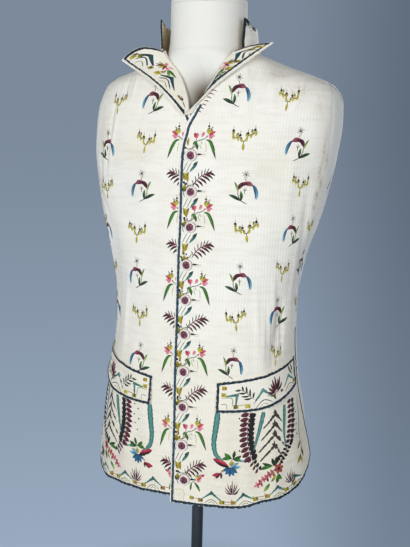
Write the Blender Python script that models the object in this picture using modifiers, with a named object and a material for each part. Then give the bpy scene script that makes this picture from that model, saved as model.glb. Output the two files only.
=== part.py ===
"""Embroidered waistcoat worn on a limbless dress form with a pole and a round base.

Metres, +Z up. The front faces -Y and the wearer's left is +X. The origin is on the floor, on the
pole's axis. Every cloth piece is a wall laid on one skin, the outer face of the worn garment, which is
described by horizontal sections. A place on the skin is a height and a girth, the distance round the
body from the centre line, and each piece is the stretch of skin between its seams, made solid.
"""

import math

import bmesh
import bpy
import numpy as np

COLLECTION_NAME = "embroidered_waistcoat"

# Cloth
CLOTH = 0.0012  # thickness of silk, linen and lining together
GAP = 0.0003  # clearance between layers
SEAM_ALLOWANCE = 0.00025  # how far each piece stops short of its seam line
STEP_OUT = CLOTH + GAP  # one layer of cloth over another
LAP_OUT = STEP_OUT + GAP  # the upper front over the lower one, which hangs with a different hem

# Heights on the garment
COLLAR_SEAM = 0.986
COLLAR_TOP = 1.033
COLLAR_START = 0.076  # girth from the centre front to the collar's front ends
COLLAR_FLARE = 0.005  # how far the collar's front ends lean out at the top
UNDERARM = 0.776
VENT_TOP = 0.44
FORM_BOTTOM = 0.452

# The skin's sections: distances are from the pole's axis, centre and shift place the section.
SECTION_COLUMNS = ("height", "half_width", "front", "back", "centre", "shift", "square", "ease")
SECTIONS = (
    (0.250, 0.1890, -0.0930, 0.1520, 0.035, 0.003, 2.20, 0.0300),
    (0.330, 0.1855, -0.0880, 0.1480, 0.035, 0.000, 2.20, 0.0250),
    (0.400, 0.1745, -0.0780, 0.1430, 0.035, -0.004, 2.20, 0.0180),
    (0.480, 0.1605, -0.0700, 0.1380, 0.035, -0.006, 2.20, 0.0090),
    (0.550, 0.1545, -0.0670, 0.1340, 0.035, -0.005, 2.20, 0.0040),
    (0.600, 0.1545, -0.0660, 0.1320, 0.035, -0.005, 2.20, 0.0025),
    (0.660, 0.1640, -0.0655, 0.1340, 0.035, -0.005, 2.20, 0.0020),
    (0.720, 0.1815, -0.0660, 0.1400, 0.035, -0.003, 2.25, 0.0022),
    (0.780, 0.1940, -0.0680, 0.1460, 0.035, -0.001, 2.30, 0.0045),
    (0.830, 0.2020, -0.0700, 0.1490, 0.035, 0.002, 2.40, 0.0012),
    (0.870, 0.2040, -0.0700, 0.1490, 0.035, 0.006, 2.45, 0.0010),
    (0.900, 0.2020, -0.0670, 0.1450, 0.035, 0.008, 2.50, 0.0012),
    (0.922, 0.1970, -0.0620, 0.1370, 0.034, 0.010, 2.45, 0.0018),
    (0.937, 0.1870, -0.0575, 0.1280, 0.032, 0.010, 2.40, 0.0022),
    (0.947, 0.1715, -0.0545, 0.1200, 0.030, 0.009, 2.30, 0.0024),
    (0.956, 0.1470, -0.0530, 0.1110, 0.026, 0.007, 2.20, 0.0022),
    (0.966, 0.1200, -0.0540, 0.1020, 0.020, 0.004, 2.15, 0.0020),
    (0.977, 0.0960, -0.0590, 0.0940, 0.013, 0.002, 2.10, 0.0024),
    (0.986, 0.0800, -0.0650, 0.0870, 0.008, 0.001, 2.10, 0.0060),
    (1.000, 0.0775, -0.0680, 0.0860, 0.008, 0.000, 2.05, 0.0100),
    (1.040, 0.0730, -0.0680, 0.0840, 0.007, 0.000, 2.00, 0.0080),
)
FRONT, BACK = "front", "back"
LEFT, RIGHT = 1, -1  # sides of the wearer, as signs of X

# The front edge of each front: the lapped edge up to the V, then the neckline.
EDGE_COLUMNS = ("height", "over", "under")
FRONT_EDGES = (
    (0.250, -0.0195, -0.0140),
    (0.400, -0.0165, -0.0140),
    (0.550, -0.0185, -0.0140),
    (0.700, -0.0180, -0.0140),
    (0.780, -0.0190, -0.0140),
    (0.830, -0.0200, -0.0110),
    (0.872, -0.0165, 0.0025),
    (0.885, -0.0105, 0.0105),
    (0.905, -0.0015, 0.0165),
    (0.925, 0.0080, 0.0245),
    (0.945, 0.0195, 0.0340),
    (0.965, 0.0345, 0.0450),
    (0.986, 0.0600, 0.0620),
)
LAP_FULL, LAP_GONE = 0.024, 0.064  # girths between which the upper front comes down to the skin
LAP_FADES = 0.930  # height above which the upper front comes down to the skin along the neckline

# How far the armhole cuts in from the side line, on the left and right fronts and on the back.
ARMHOLE_COLUMNS = ("height", "left", "right", "back")
ARMHOLE = (
    (0.776, 0.0000, 0.0000, 0.0000),
    (0.786, 0.0150, 0.0200, 0.0090),
    (0.802, 0.0250, 0.0380, 0.0150),
    (0.830, 0.0370, 0.0560, 0.0200),
    (0.865, 0.0450, 0.0680, 0.0200),
    (0.900, 0.0450, 0.0680, 0.0160),
    (0.925, 0.0360, 0.0500, 0.0100),
    (0.940, 0.0180, 0.0230, 0.0050),
    (0.9465, 0.0000, 0.0000, 0.0000),
)

# The hem, by share of the way from the centre line to the side.
HEM_COLUMNS = ("share", "left", "right", "back")
HEM = (
    (0.00, 0.2750, 0.2850, 0.2880),
    (0.40, 0.2750, 0.2842, 0.2880),
    (0.55, 0.2840, 0.2842, 0.2880),
    (0.68, 0.2895, 0.2856, 0.2900),
    (0.80, 0.3015, 0.2908, 0.2975),
    (0.90, 0.3190, 0.3015, 0.3120),
    (1.00, 0.3400, 0.3320, 0.3330),
)
VENT_SPREAD = 0.014  # how far the back's skirt hangs inside the front's at the foot of the side vent
VENT_HANG_START = 0.55  # share of the back half's breadth at which it starts to hang inwards

# Soft folds of the cloth: ridges, or troughs with a minus rise, fading to nothing at low and at high.
# A fold that is still full at the hem has its low end as far below the hem as its high end is above.
FOLD_COLUMNS = ("low", "high", "girth_low", "girth_high", "width", "rise")
FRONT_FOLDS = (
    (-0.06, 0.62, 0.190, 0.120, 0.016, 0.0030),
    (-0.04, 0.60, 0.126, 0.092, 0.014, 0.0020),
    (0.50, 0.72, 0.150, 0.145, 0.013, -0.0016),
    (0.08, 0.48, 0.078, 0.062, 0.015, 0.0022),
)
BACK_FOLDS = (
    (-0.08, 0.64, 0.180, 0.105, 0.018, 0.0030),
    (-0.04, 0.60, 0.100, 0.060, 0.016, 0.0024),
)
FOLDS_START, FOLDS_FULL = 0.020, 0.070  # girths between which the folds grow beside the buttons

# Lapels, from the V up: where the turned edge leaves the neckline and where the outer edge lies.
LAPEL_COLUMNS = ("root", "outer_x", "outer_y", "outer_z", "arch")
LAPELS = {
    LEFT: (
        (0.8900, -0.0110, -0.0750, 0.8870, 0.0000),
        (0.9120, 0.0125, -0.0722, 0.9110, 0.0010),
        (0.9340, 0.0400, -0.0670, 0.9375, 0.0020),
        (0.9550, 0.0680, -0.0580, 0.9605, 0.0030),
        (0.9720, 0.0930, -0.0460, 0.9810, 0.0035),
        (0.9845, 0.1135, -0.0340, 0.9980, 0.0030),
    ),
    RIGHT: (
        (0.8900, -0.0160, -0.0740, 0.8880, 0.0000),
        (0.9120, -0.0365, -0.0715, 0.9105, 0.0010),
        (0.9340, -0.0610, -0.0640, 0.9310, 0.0025),
        (0.9550, -0.0880, -0.0530, 0.9480, 0.0045),
        (0.9720, -0.1130, -0.0400, 0.9610, 0.0080),
        (0.9845, -0.1360, -0.0300, 0.9735, 0.0150),
    ),
}

LAPEL_INSET = 0.0006  # how far inside the neckline the lapel's root lies
ARCH_DIRECTION = (0.0, -0.6, 0.8)  # the way a lapel bulges between root and outer edge

# Pocket flaps, by girth from the centre line: heights of the upper and of the lower edge.
FLAP_COLUMNS = ("girth", "upper", "lower")
FLAP = (
    (0.055, 0.4720, 0.4255),
    (0.085, 0.4765, 0.4265),
    (0.120, 0.4830, 0.4300),
    (0.155, 0.4920, 0.4400),
    (0.180, 0.5000, 0.4520),
    (0.198, 0.5060, 0.4620),
)
FLAP_LIFT = 0.0035  # the free lower edge stands off by this much more than the upper one

# Buttons, by height and girth
BUTTONS = (
    (0.8270, -0.0018),
    (0.7715, 0.0020),
    (0.7165, 0.0028),
    (0.6570, 0.0000),
    (0.6010, -0.0005),
    (0.5460, -0.0005),
    (0.4860, 0.0012),
    (0.4294, 0.0018),
    (0.3684, 0.0020),
    (0.3150, 0.0060),
)
BUTTON_RADIUS = 0.0092
BUTTON_THICKNESS = 0.0050
BUTTON_RIM = 0.0016  # height of the button's widest ring
BUTTON_FOOT = 0.93  # the flat foot's share of the radius
BUTTON_RINGS = 5
BUTTON_LIFT = LAP_OUT + 1.5 * GAP
BUTTON_STEPS = 14

# Dress form and stand
FORM_LEVELS = (
    0.460, 0.490, 0.530, 0.570, 0.610, 0.650, 0.690, 0.730, 0.765, 0.790, 0.815,
    0.842, 0.868, 0.890, 0.908, 0.922, 0.933, 0.941, 0.948, 0.956, 0.966, 0.975,
)
FORM_BOTTOM_ROUNDING = 0.08
NECK_COLUMNS = ("height", "radius")
NECK = ((0.984, 0.0615), (0.997, 0.0605), (1.015, 0.0600), (1.057, 0.0600))
CAP_HEIGHT = 0.016
CAP_CROWN = 0.003  # rise of the cap's crown above its rounded shoulder
CAP_ROUNDING = 0.009
CAP_RINGS = 4
POLE_RADIUS = 0.0096
BASE_RADIUS = 0.150
BASE_THICKNESS = 0.008
RIM_ROUNDING = 0.0025
RIM_RINGS = 3
FOOT_CHAMFER = 0.001
HUB_RADIUS = 0.019
HUB_HEIGHT = 0.034
HUB_FILLET = 0.005
TURNED_STEPS = 32

# Mesh sizes
LOWEST_LEVEL = 0.250
ROWS_BELOW_ARM = 0.62  # share of a panel's rows that lie below the underarm
ROW_CROWDING = 1.35  # how much closer the rows get towards the collar seam
FRONT_GRID = (18, 30)
BACK_GRID = (11, 30)
LAPEL_GRID = (6, 16)
FLAP_GRID = (16, 5)
COLLAR_GRID = (14, 4)
FORM_RING = 40
POLE_STEPS = 32
ARC = np.linspace(0.0, math.pi / 2.0, 121)
NORMAL_PROBE = 0.0015  # distance between the places that give the skin's direction
NORMAL_REACH = 0.99  # share of the quarter girth beyond which the direction no longer changes
MERGE = 0.00005

MATERIALS = {
    "silk": ((0.87, 0.84, 0.75), 0.62, 0.0),
    "linen": ((0.86, 0.87, 0.86), 0.85, 0.0),
    "button": ((0.62, 0.46, 0.45), 0.60, 0.0),
    "form_cover": ((0.84, 0.83, 0.80), 0.80, 0.0),
    "dark_steel": ((0.045, 0.050, 0.055), 0.42, 0.6),
}


def columns(names, rows):
    """A table's columns by name."""
    return {name: np.array([row[i] for row in rows]) for i, name in enumerate(names)}


def eased(at, places, values):
    """Smooth curve through the values that never overshoots them."""
    spans = np.diff(places)
    slopes = np.diff(values) / spans
    tangents = np.zeros(len(values))
    for i in range(1, len(values) - 1):
        before, after = slopes[i - 1], slopes[i]
        if before * after > 0.0:
            tangents[i] = 2.0 * before * after / (before + after)
    tangents[0], tangents[-1] = slopes[0], slopes[-1]
    at = np.clip(at, places[0], places[-1])
    i = np.clip(np.searchsorted(places, at) - 1, 0, len(spans) - 1)
    t = (at - places[i]) / spans[i]
    rising = t * t * (3.0 - 2.0 * t)
    bend = spans[i] * (tangents[i] * t * (1 - t) ** 2 - tangents[i + 1] * t * t * (1 - t))
    return values[i] * (1.0 - rising) + values[i + 1] * rising + bend


def smooth_step(value, start, end):
    t = np.clip((value - start) / (end - start), 0.0, 1.0)
    return t * t * (3.0 - 2.0 * t)


SECTION = columns(SECTION_COLUMNS, SECTIONS)
EDGE = columns(EDGE_COLUMNS, FRONT_EDGES)
ARM = columns(ARMHOLE_COLUMNS, ARMHOLE)
HEMLINE = columns(HEM_COLUMNS, HEM)


def section_value(name, height):
    return eased(height, SECTION["height"], SECTION[name])


def quarter(height, half):
    """Girth, x and y along a quarter of the section at each height, from the centre line to the side."""
    height = np.atleast_1d(height)
    power = (2.0 / section_value("square", height))[:, None]
    centre = section_value("centre", height)[:, None]
    depth = section_value(half, height)[:, None] - centre
    x = section_value("half_width", height)[:, None] * np.sin(ARC) ** power
    y = centre + depth * np.cos(ARC).clip(0.0) ** power
    pieces = np.hypot(np.diff(x, axis=1), np.diff(y, axis=1))
    girth = np.concatenate((np.zeros((len(height), 1)), np.cumsum(pieces, axis=1)), axis=1)
    return girth, x, y


def side_girth(height, half):
    """Girth from the centre line to the side at each height."""
    return quarter(height, half)[0][:, -1]


def skin(height, girth, half):
    """Points of the skin, for arrays of heights and of signed girths from the centre line."""
    girths, x, y = quarter(height, half)
    reach = np.abs(girth)[:, None]
    i = np.clip((girths < reach).sum(axis=1), 1, len(ARC) - 1)
    rows = np.arange(len(i))
    start, end = girths[rows, i - 1], girths[rows, i]
    t = (reach[:, 0] - start) / (end - start)
    across = x[rows, i - 1] * (1 - t) + x[rows, i] * t
    depth = y[rows, i - 1] * (1 - t) + y[rows, i] * t
    side = np.where(np.asarray(girth) < 0.0, -1.0, 1.0)
    return np.stack((section_value("shift", height) + side * across, depth, height), axis=1)


def skin_normal(height, girth, half):
    """Outward directions of the skin."""
    share = np.clip(girth / side_girth(height, half), -NORMAL_REACH, NORMAL_REACH)
    above, below = height + NORMAL_PROBE, height - NORMAL_PROBE
    up = skin(above, share * side_girth(above, half), half)
    down = skin(below, share * side_girth(below, half), half)
    inner = share * side_girth(height, half)
    ahead = skin(height, inner + NORMAL_PROBE, half)
    behind = skin(height, inner - NORMAL_PROBE, half)
    normal = np.cross(ahead - behind, up - down)
    if half == BACK:
        normal = -normal
    return normal / np.linalg.norm(normal, axis=1)[:, None]


def laid(height, girth, half, out):
    """Points at a distance out from the skin."""
    shape = np.shape(height)
    height, girth = np.ravel(height), np.ravel(girth)
    out = np.broadcast_to(out, shape).ravel()
    points = skin(height, girth, half) + skin_normal(height, girth, half) * out[:, None]
    return points.reshape(shape + (3,))


def fold_rise(height, girth, folds):
    """Height of the soft folds at each place; girth is counted from the centre line."""
    total = np.zeros(np.shape(height))
    for low, high, girth_low, girth_high, width, rise in folds:
        t = np.clip((height - low) / (high - low), 0.0, 1.0)
        middle = girth_low + (girth_high - girth_low) * t
        total += rise * np.sin(math.pi * t) * np.exp(-(((girth - middle) / width) ** 2))
    return total


def front_out(side, height, girth):
    """How far a front's outer face stands out from the skin; girth is minus past the centre line."""
    out = fold_rise(height, girth, FRONT_FOLDS) * smooth_step(girth, FOLDS_START, FOLDS_FULL)
    if side == LEFT:
        lap = LAP_OUT * (1.0 - smooth_step(girth, LAP_FULL, LAP_GONE))
        out = out + lap * (1.0 - smooth_step(height, LAP_FADES, COLLAR_SEAM))
    return out


def panel_levels(along):
    """Levels of a panel's rows: even up to the underarm, then closer towards the collar seam."""
    below = int(along * ROWS_BELOW_ARM)
    lower = np.linspace(LOWEST_LEVEL, UNDERARM, below + 1)
    t = np.linspace(0.0, 1.0, along - below + 1)[1:]
    upper = UNDERARM + (COLLAR_SEAM - UNDERARM) * (1.0 - (1.0 - t) ** ROW_CROWDING)
    return np.concatenate((lower, upper))


def panel_heights(hem, size):
    """Heights and shares of a panel's points; the rows below the underarm stretch down to the hem."""
    across, along = size
    share = np.broadcast_to(np.linspace(0.0, 1.0, across + 1)[None, :], (along + 1, across + 1))
    hem_height = eased(share, HEMLINE["share"], HEMLINE[hem])
    level = panel_levels(along)[:, None]
    climb = (level - LOWEST_LEVEL) / (UNDERARM - LOWEST_LEVEL)
    return np.where(climb < 1.0, hem_height + (UNDERARM - hem_height) * climb, level), share


def side_limit(height, half, armhole):
    """Girth at which a panel ends: at the side line, or at its armhole."""
    side_line = side_girth(height.ravel(), half).reshape(height.shape)
    return side_line - eased(height, ARM["height"], ARM[armhole]) - SEAM_ALLOWANCE


def front_grid(side, size):
    """Heights and girths of a front's points, from its front edge round to the side."""
    word = "left" if side == LEFT else "right"
    height, share = panel_heights(word, size)
    start = front_edge(side, height)
    return height, start + (side_limit(height, FRONT, word) - start) * share


def front_edge(side, height):
    """Girth of a front's edge: the lap below the V, the neckline above it."""
    return eased(height, EDGE["height"], EDGE["over"] if side == LEFT else EDGE["under"])


def front_points(side, size):
    height, girth = front_grid(side, size)
    return laid(height, side * girth, FRONT, front_out(side, height, girth))


def back_points(side, size):
    """Points of a back half, from the centre-back seam round to the side."""
    height, share = panel_heights("back", size)
    start = SEAM_ALLOWANCE
    girth = start + (side_limit(height, BACK, "back") - start) * share
    below_vent = smooth_step(VENT_TOP - height, 0.0, VENT_TOP - LOWEST_LEVEL)
    hang = VENT_SPREAD * below_vent * smooth_step(share, VENT_HANG_START, 1.0)
    return laid(height, side * girth, BACK, fold_rise(height, girth, BACK_FOLDS) - hang)


def collar_points(size):
    """The standing collar, from one front end round the back to the other."""
    quarter_steps, rows = size
    levels = np.linspace(COLLAR_SEAM + GAP, COLLAR_TOP, rows + 1)[:, None]
    strips = []
    for side, half in ((RIGHT, FRONT), (RIGHT, BACK), (LEFT, BACK), (LEFT, FRONT)):
        steps = quarter_steps // 3 if half == FRONT else quarter_steps
        height = np.broadcast_to(levels, (rows + 1, steps + 1))
        reach = side_girth(height.ravel(), half).reshape(height.shape)
        t = np.linspace(0.0, 1.0, steps + 1)[None, :]
        outward = (half == FRONT) == (side == RIGHT)
        share = t if outward else 1.0 - t
        start = COLLAR_START if half == FRONT else 0.0
        girth = start + (reach - start) * share
        lean = COLLAR_FLARE if half == FRONT else 0.0
        flare = lean * smooth_step(height, COLLAR_SEAM, COLLAR_TOP) * (1.0 - share)
        strip = laid(height, side * girth, half, flare)
        strips.append(strip if not strips else strip[:, 1:])
    return np.concatenate(strips, axis=1)


def lapel_points(side, size):
    """A turned-back lapel, from its root on the neckline to its outer edge."""
    across, along = size
    rows = columns(LAPEL_COLUMNS, LAPELS[side])
    station = np.linspace(0.0, len(LAPELS[side]) - 1.0, along + 1)
    places = np.arange(len(LAPELS[side]), dtype=float)
    height = eased(station, places, rows["root"])
    girth = front_edge(side, height) + LAPEL_INSET
    root = laid(height, side * girth, FRONT, front_out(side, height, girth) + STEP_OUT + GAP)
    outer = np.stack([eased(station, places, rows[name]) for name in LAPEL_COLUMNS[1:4]], axis=1)
    share = np.linspace(0.0, 1.0, across + 1)[None, :, None]
    arch = eased(station, places, rows["arch"])[:, None, None] * np.sin(math.pi * share)
    points = root[:, None, :] * (1.0 - share) + outer[:, None, :] * share
    return points + arch * np.array(ARCH_DIRECTION)


def flap_points(side, size):
    """A pocket flap, lying on its front."""
    across, along = size
    rows = columns(FLAP_COLUMNS, FLAP)
    girth = np.linspace(rows["girth"][0], rows["girth"][-1], across + 1)[None, :]
    share = np.linspace(0.0, 1.0, along + 1)[:, None]
    lower = eased(girth, rows["girth"], rows["lower"])
    upper = eased(girth, rows["girth"], rows["upper"])
    height = lower + (upper - lower) * share
    girth = np.broadcast_to(girth, height.shape)
    out = front_out(side, height, girth) + STEP_OUT + GAP + FLAP_LIFT * (1.0 - share) ** 2
    return laid(height, side * girth, FRONT, out)


def add_object(name, mesh, material):
    thing = bpy.data.objects.new(name, mesh)
    thing.data.materials.append(bpy.data.materials[material])
    COLLECTION.objects.link(thing)
    return thing


def sheet_mesh(name, points, flipped):
    """An open mesh over a grid of points."""
    rows, steps = points.shape[:2]
    faces = []
    for row in range(rows - 1):
        for step in range(steps - 1):
            corner = row * steps + step
            face = (corner, corner + 1, corner + steps + 1, corner + steps)
            faces.append(face[::-1] if flipped else face)
    mesh = bpy.data.meshes.new(name)
    mesh.from_pydata([tuple(p) for p in points.reshape(-1, 3)], [], faces)
    mesh.shade_smooth()
    return mesh


def cloth_piece(name, points, material, flipped=False):
    """A wall of cloth whose outer face is the grid."""
    piece = add_object(name, sheet_mesh(name, points, flipped), material)
    wall = piece.modifiers.new("wall", "SOLIDIFY")
    wall.thickness = CLOTH
    wall.offset = -1.0
    wall.use_even_offset = True
    return piece


def turned_piece(name, profile, material, steps=TURNED_STEPS):
    """A turned solid from a profile that runs down its outer side, at the origin."""
    mesh = bpy.data.meshes.new(name)
    vertices = [(radius, 0.0, height) for radius, height in profile]
    mesh.from_pydata(vertices, [(i, i + 1) for i in range(len(vertices) - 1)], [])
    piece = add_object(name, mesh, material)
    turn = piece.modifiers.new("turn", "SCREW")
    turn.steps = steps
    turn.render_steps = steps
    turn.use_merge_vertices = True
    turn.merge_threshold = MERGE
    return piece


def round_button(name, height, along):
    """A domed, covered button lying on the upper front."""
    level, girth = np.array([height]), np.array([along])
    place = laid(level, girth, FRONT, BUTTON_LIFT)[0]
    normal = skin_normal(level, girth, FRONT)[0]
    profile = [(0.0, BUTTON_THICKNESS)]
    for i in range(1, BUTTON_RINGS + 1):
        angle = math.pi / 2.0 * i / BUTTON_RINGS
        rise = BUTTON_RIM + (BUTTON_THICKNESS - BUTTON_RIM) * math.cos(angle)
        profile.append((BUTTON_RADIUS * math.sin(angle), rise))
    profile += [(BUTTON_RADIUS * BUTTON_FOOT, 0.0), (0.0, 0.0)]
    button = turned_piece(name, profile, "button", BUTTON_STEPS)
    button.location = place
    lean = math.atan2(normal[2], -normal[1])
    button.rotation_euler = (math.pi / 2.0 - lean, 0.0, math.atan2(normal[0], -normal[1]))
    return button


def closed_rings(name, rings, material):
    """A closed solid lofted through rings that have the same number of points, bottom ring first."""
    solid = bmesh.new()
    loops = [[solid.verts.new(tuple(point)) for point in ring] for ring in rings]
    count = len(loops[0])
    for lower, upper in zip(loops, loops[1:]):
        for i in range(count):
            j = (i + 1) % count
            solid.faces.new((lower[i], lower[j], upper[j], upper[i]))
    solid.faces.new(loops[0][::-1])
    solid.faces.new(loops[-1])
    mesh = bpy.data.meshes.new(name)
    solid.to_mesh(mesh)
    solid.free()
    mesh.shade_smooth()
    return add_object(name, mesh, material)


def form_ring(height, room):
    """A ring of the form under the skin, counter-clockwise from the wearer's left side."""
    t = np.linspace(0.0, 1.0, FORM_RING // 4 + 1)[:-1]
    level = np.full(len(t), height)
    runs = []
    for side, half, share in (
        (LEFT, BACK, 1.0 - t),
        (RIGHT, BACK, t),
        (RIGHT, FRONT, 1.0 - t),
        (LEFT, FRONT, t),
    ):
        girth = side * share * side_girth(level, half)
        runs.append(laid(level, girth, half, -room))
    return np.concatenate(runs)


def dress_form():
    """Torso under the cloth, with shoulder ends in the armholes and a straight neck."""
    rings = []
    for height in FORM_LEVELS:
        room = STEP_OUT + section_value("ease", np.array([height]))[0]
        rings.append(form_ring(height, room))
    lowest = rings[0]
    bottom = lowest + (lowest.mean(axis=0) - lowest) * FORM_BOTTOM_ROUNDING
    bottom[:, 2] = FORM_BOTTOM
    rings.insert(0, bottom)
    turn = np.arange(FORM_RING) * 2.0 * math.pi / FORM_RING
    for height, radius in NECK:
        level = np.full(FORM_RING, height)
        rings.append(np.stack((radius * np.cos(turn), radius * np.sin(turn), level), axis=1))
    return closed_rings("dress_form", rings, "form_cover")


def neck_cap():
    """A shallow cap on the neck, straight at its rim and rounded over to a flat crown."""
    height, radius = NECK[-1]
    seam = height + GAP
    profile = [(0.0, seam + CAP_HEIGHT), (radius - CAP_ROUNDING, seam + CAP_HEIGHT - CAP_CROWN)]
    for i in range(1, CAP_RINGS + 1):
        angle = math.pi / 2.0 * i / CAP_RINGS
        across = radius - CAP_ROUNDING * (1.0 - math.sin(angle))
        down = CAP_CROWN + CAP_ROUNDING * (1.0 - math.cos(angle))
        profile.append((across, seam + CAP_HEIGHT - down))
    profile += [(radius, seam), (0.0, seam)]
    return turned_piece("neck_cap", profile, "form_cover")


def base():
    """A round plate with a rounded rim and a hub that carries the pole."""
    profile = [(0.0, HUB_HEIGHT), (HUB_RADIUS - RIM_ROUNDING, HUB_HEIGHT)]
    profile.append((HUB_RADIUS, HUB_HEIGHT - RIM_ROUNDING))
    profile.append((HUB_RADIUS, BASE_THICKNESS + HUB_FILLET))
    profile.append((HUB_RADIUS + HUB_FILLET, BASE_THICKNESS))
    for i in range(RIM_RINGS + 1):
        angle = math.pi / 2.0 * i / RIM_RINGS
        across = BASE_RADIUS - RIM_ROUNDING * (1.0 - math.sin(angle))
        profile.append((across, BASE_THICKNESS - RIM_ROUNDING * (1.0 - math.cos(angle))))
    profile += [(BASE_RADIUS, FOOT_CHAMFER), (BASE_RADIUS - FOOT_CHAMFER, 0.0), (0.0, 0.0)]
    return turned_piece("base", profile, "dark_steel")


def pole():
    low = HUB_HEIGHT + GAP
    high = FORM_BOTTOM - GAP
    bpy.ops.mesh.primitive_cylinder_add(
        vertices=POLE_STEPS, radius=POLE_RADIUS, depth=high - low, location=(0.0, 0.0, (low + high) / 2.0)
    )
    piece = bpy.context.active_object
    piece.name = "pole"
    piece.data.materials.append(bpy.data.materials["dark_steel"])
    piece.data.shade_smooth()
    piece.data.set_sharp_from_angle(angle=math.radians(40.0))
    for holder in list(piece.users_collection):
        holder.objects.unlink(piece)
    COLLECTION.objects.link(piece)
    return piece


def make_materials():
    for name, (colour, roughness, metallic) in MATERIALS.items():
        material = bpy.data.materials.new(name)
        material.use_nodes = True
        shader = material.node_tree.nodes["Principled BSDF"]
        shader.inputs["Base Color"].default_value = (*colour, 1.0)
        shader.inputs["Roughness"].default_value = roughness
        shader.inputs["Metallic"].default_value = metallic


def make_garment():
    for side, word in ((LEFT, "left"), (RIGHT, "right")):
        flipped = side == RIGHT
        cloth_piece(f"front_{word}", front_points(side, FRONT_GRID), "silk", flipped)
        cloth_piece(f"back_{word}", back_points(side, BACK_GRID), "linen", not flipped)
        cloth_piece(f"lapel_{word}", lapel_points(side, LAPEL_GRID), "silk", flipped)
        cloth_piece(f"pocket_flap_{word}", flap_points(side, FLAP_GRID), "silk", flipped)
    cloth_piece("collar", collar_points(COLLAR_GRID), "silk")
    for i, (height, girth) in enumerate(BUTTONS):
        round_button(f"button_{i + 1:02d}", height, girth)


def make_stand():
    dress_form()
    neck_cap()
    pole()
    base()


for old in list(bpy.data.objects):
    bpy.data.objects.remove(old, do_unlink=True)
COLLECTION = bpy.data.collections.new(COLLECTION_NAME)
bpy.context.scene.collection.children.link(COLLECTION)
make_materials()
make_garment()
make_stand()
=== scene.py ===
"""Embroidered waistcoat worn on a limbless dress form: cloth, stitching, buttons and stand.

Metres, +Z up, as in the solids: the front faces -Y and the wearer's left is +X. The cloth repeats the
solids' skin more finely. A place on a panel is a height and a girth, the distance round the body from
the centre line. Each piece of embroidery is drawn flat at such places and then laid on the cloth.
"""

import math

import bmesh
import bpy
import numpy as np
from mathutils import Matrix, Vector


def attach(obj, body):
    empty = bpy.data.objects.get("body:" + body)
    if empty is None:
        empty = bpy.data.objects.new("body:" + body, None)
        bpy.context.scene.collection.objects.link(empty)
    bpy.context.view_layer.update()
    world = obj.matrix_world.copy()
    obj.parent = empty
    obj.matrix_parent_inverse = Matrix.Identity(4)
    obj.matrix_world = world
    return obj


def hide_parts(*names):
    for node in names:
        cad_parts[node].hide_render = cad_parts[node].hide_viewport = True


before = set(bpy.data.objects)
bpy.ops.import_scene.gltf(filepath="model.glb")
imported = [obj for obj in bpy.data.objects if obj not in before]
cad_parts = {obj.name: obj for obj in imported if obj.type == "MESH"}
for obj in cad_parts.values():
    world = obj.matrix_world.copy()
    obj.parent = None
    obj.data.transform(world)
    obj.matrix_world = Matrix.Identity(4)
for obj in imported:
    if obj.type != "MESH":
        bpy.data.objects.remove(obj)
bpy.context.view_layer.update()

# Cloth
CLOTH = 0.0012  # thickness of silk, linen and lining together
GAP = 0.0003  # clearance between layers
SEAM_ALLOWANCE = 0.00025  # how far each piece stops short of its seam line
STEP_OUT = CLOTH + GAP  # one layer of cloth over another
LAP_OUT = STEP_OUT + GAP  # the upper front over the lower one, which hangs with a different hem

# Heights on the garment
COLLAR_SEAM = 0.986
COLLAR_TOP = 1.033
COLLAR_START = 0.076  # girth from the centre front to the collar's front ends
COLLAR_FLARE = 0.005  # how far the collar's front ends lean out at the top
UNDERARM = 0.776
VENT_TOP = 0.44
FORM_BOTTOM = 0.452

# The skin's sections: distances are from the pole's axis, centre and shift place the section.
SECTION_COLUMNS = ("height", "half_width", "front", "back", "centre", "shift", "square", "ease")
SECTIONS = (
    (0.250, 0.1890, -0.0930, 0.1520, 0.035, 0.003, 2.20, 0.0300),
    (0.330, 0.1855, -0.0880, 0.1480, 0.035, 0.000, 2.20, 0.0250),
    (0.400, 0.1745, -0.0780, 0.1430, 0.035, -0.004, 2.20, 0.0180),
    (0.480, 0.1605, -0.0700, 0.1380, 0.035, -0.006, 2.20, 0.0090),
    (0.550, 0.1545, -0.0670, 0.1340, 0.035, -0.005, 2.20, 0.0040),
    (0.600, 0.1545, -0.0660, 0.1320, 0.035, -0.005, 2.20, 0.0025),
    (0.660, 0.1640, -0.0655, 0.1340, 0.035, -0.005, 2.20, 0.0020),
    (0.720, 0.1815, -0.0660, 0.1400, 0.035, -0.003, 2.25, 0.0022),
    (0.780, 0.1940, -0.0680, 0.1460, 0.035, -0.001, 2.30, 0.0045),
    (0.830, 0.2020, -0.0700, 0.1490, 0.035, 0.002, 2.40, 0.0012),
    (0.870, 0.2040, -0.0700, 0.1490, 0.035, 0.006, 2.45, 0.0010),
    (0.900, 0.2020, -0.0670, 0.1450, 0.035, 0.008, 2.50, 0.0012),
    (0.922, 0.1970, -0.0620, 0.1370, 0.034, 0.010, 2.45, 0.0018),
    (0.937, 0.1870, -0.0575, 0.1280, 0.032, 0.010, 2.40, 0.0022),
    (0.947, 0.1715, -0.0545, 0.1200, 0.030, 0.009, 2.30, 0.0024),
    (0.956, 0.1470, -0.0530, 0.1110, 0.026, 0.007, 2.20, 0.0022),
    (0.966, 0.1200, -0.0540, 0.1020, 0.020, 0.004, 2.15, 0.0020),
    (0.977, 0.0960, -0.0590, 0.0940, 0.013, 0.002, 2.10, 0.0024),
    (0.986, 0.0800, -0.0650, 0.0870, 0.008, 0.001, 2.10, 0.0060),
    (1.000, 0.0775, -0.0680, 0.0860, 0.008, 0.000, 2.05, 0.0100),
    (1.040, 0.0730, -0.0680, 0.0840, 0.007, 0.000, 2.00, 0.0080),
)
FRONT, BACK = "front", "back"
LEFT, RIGHT = 1, -1  # sides of the wearer, as signs of X
SIDES = {LEFT: "left", RIGHT: "right"}

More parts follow.
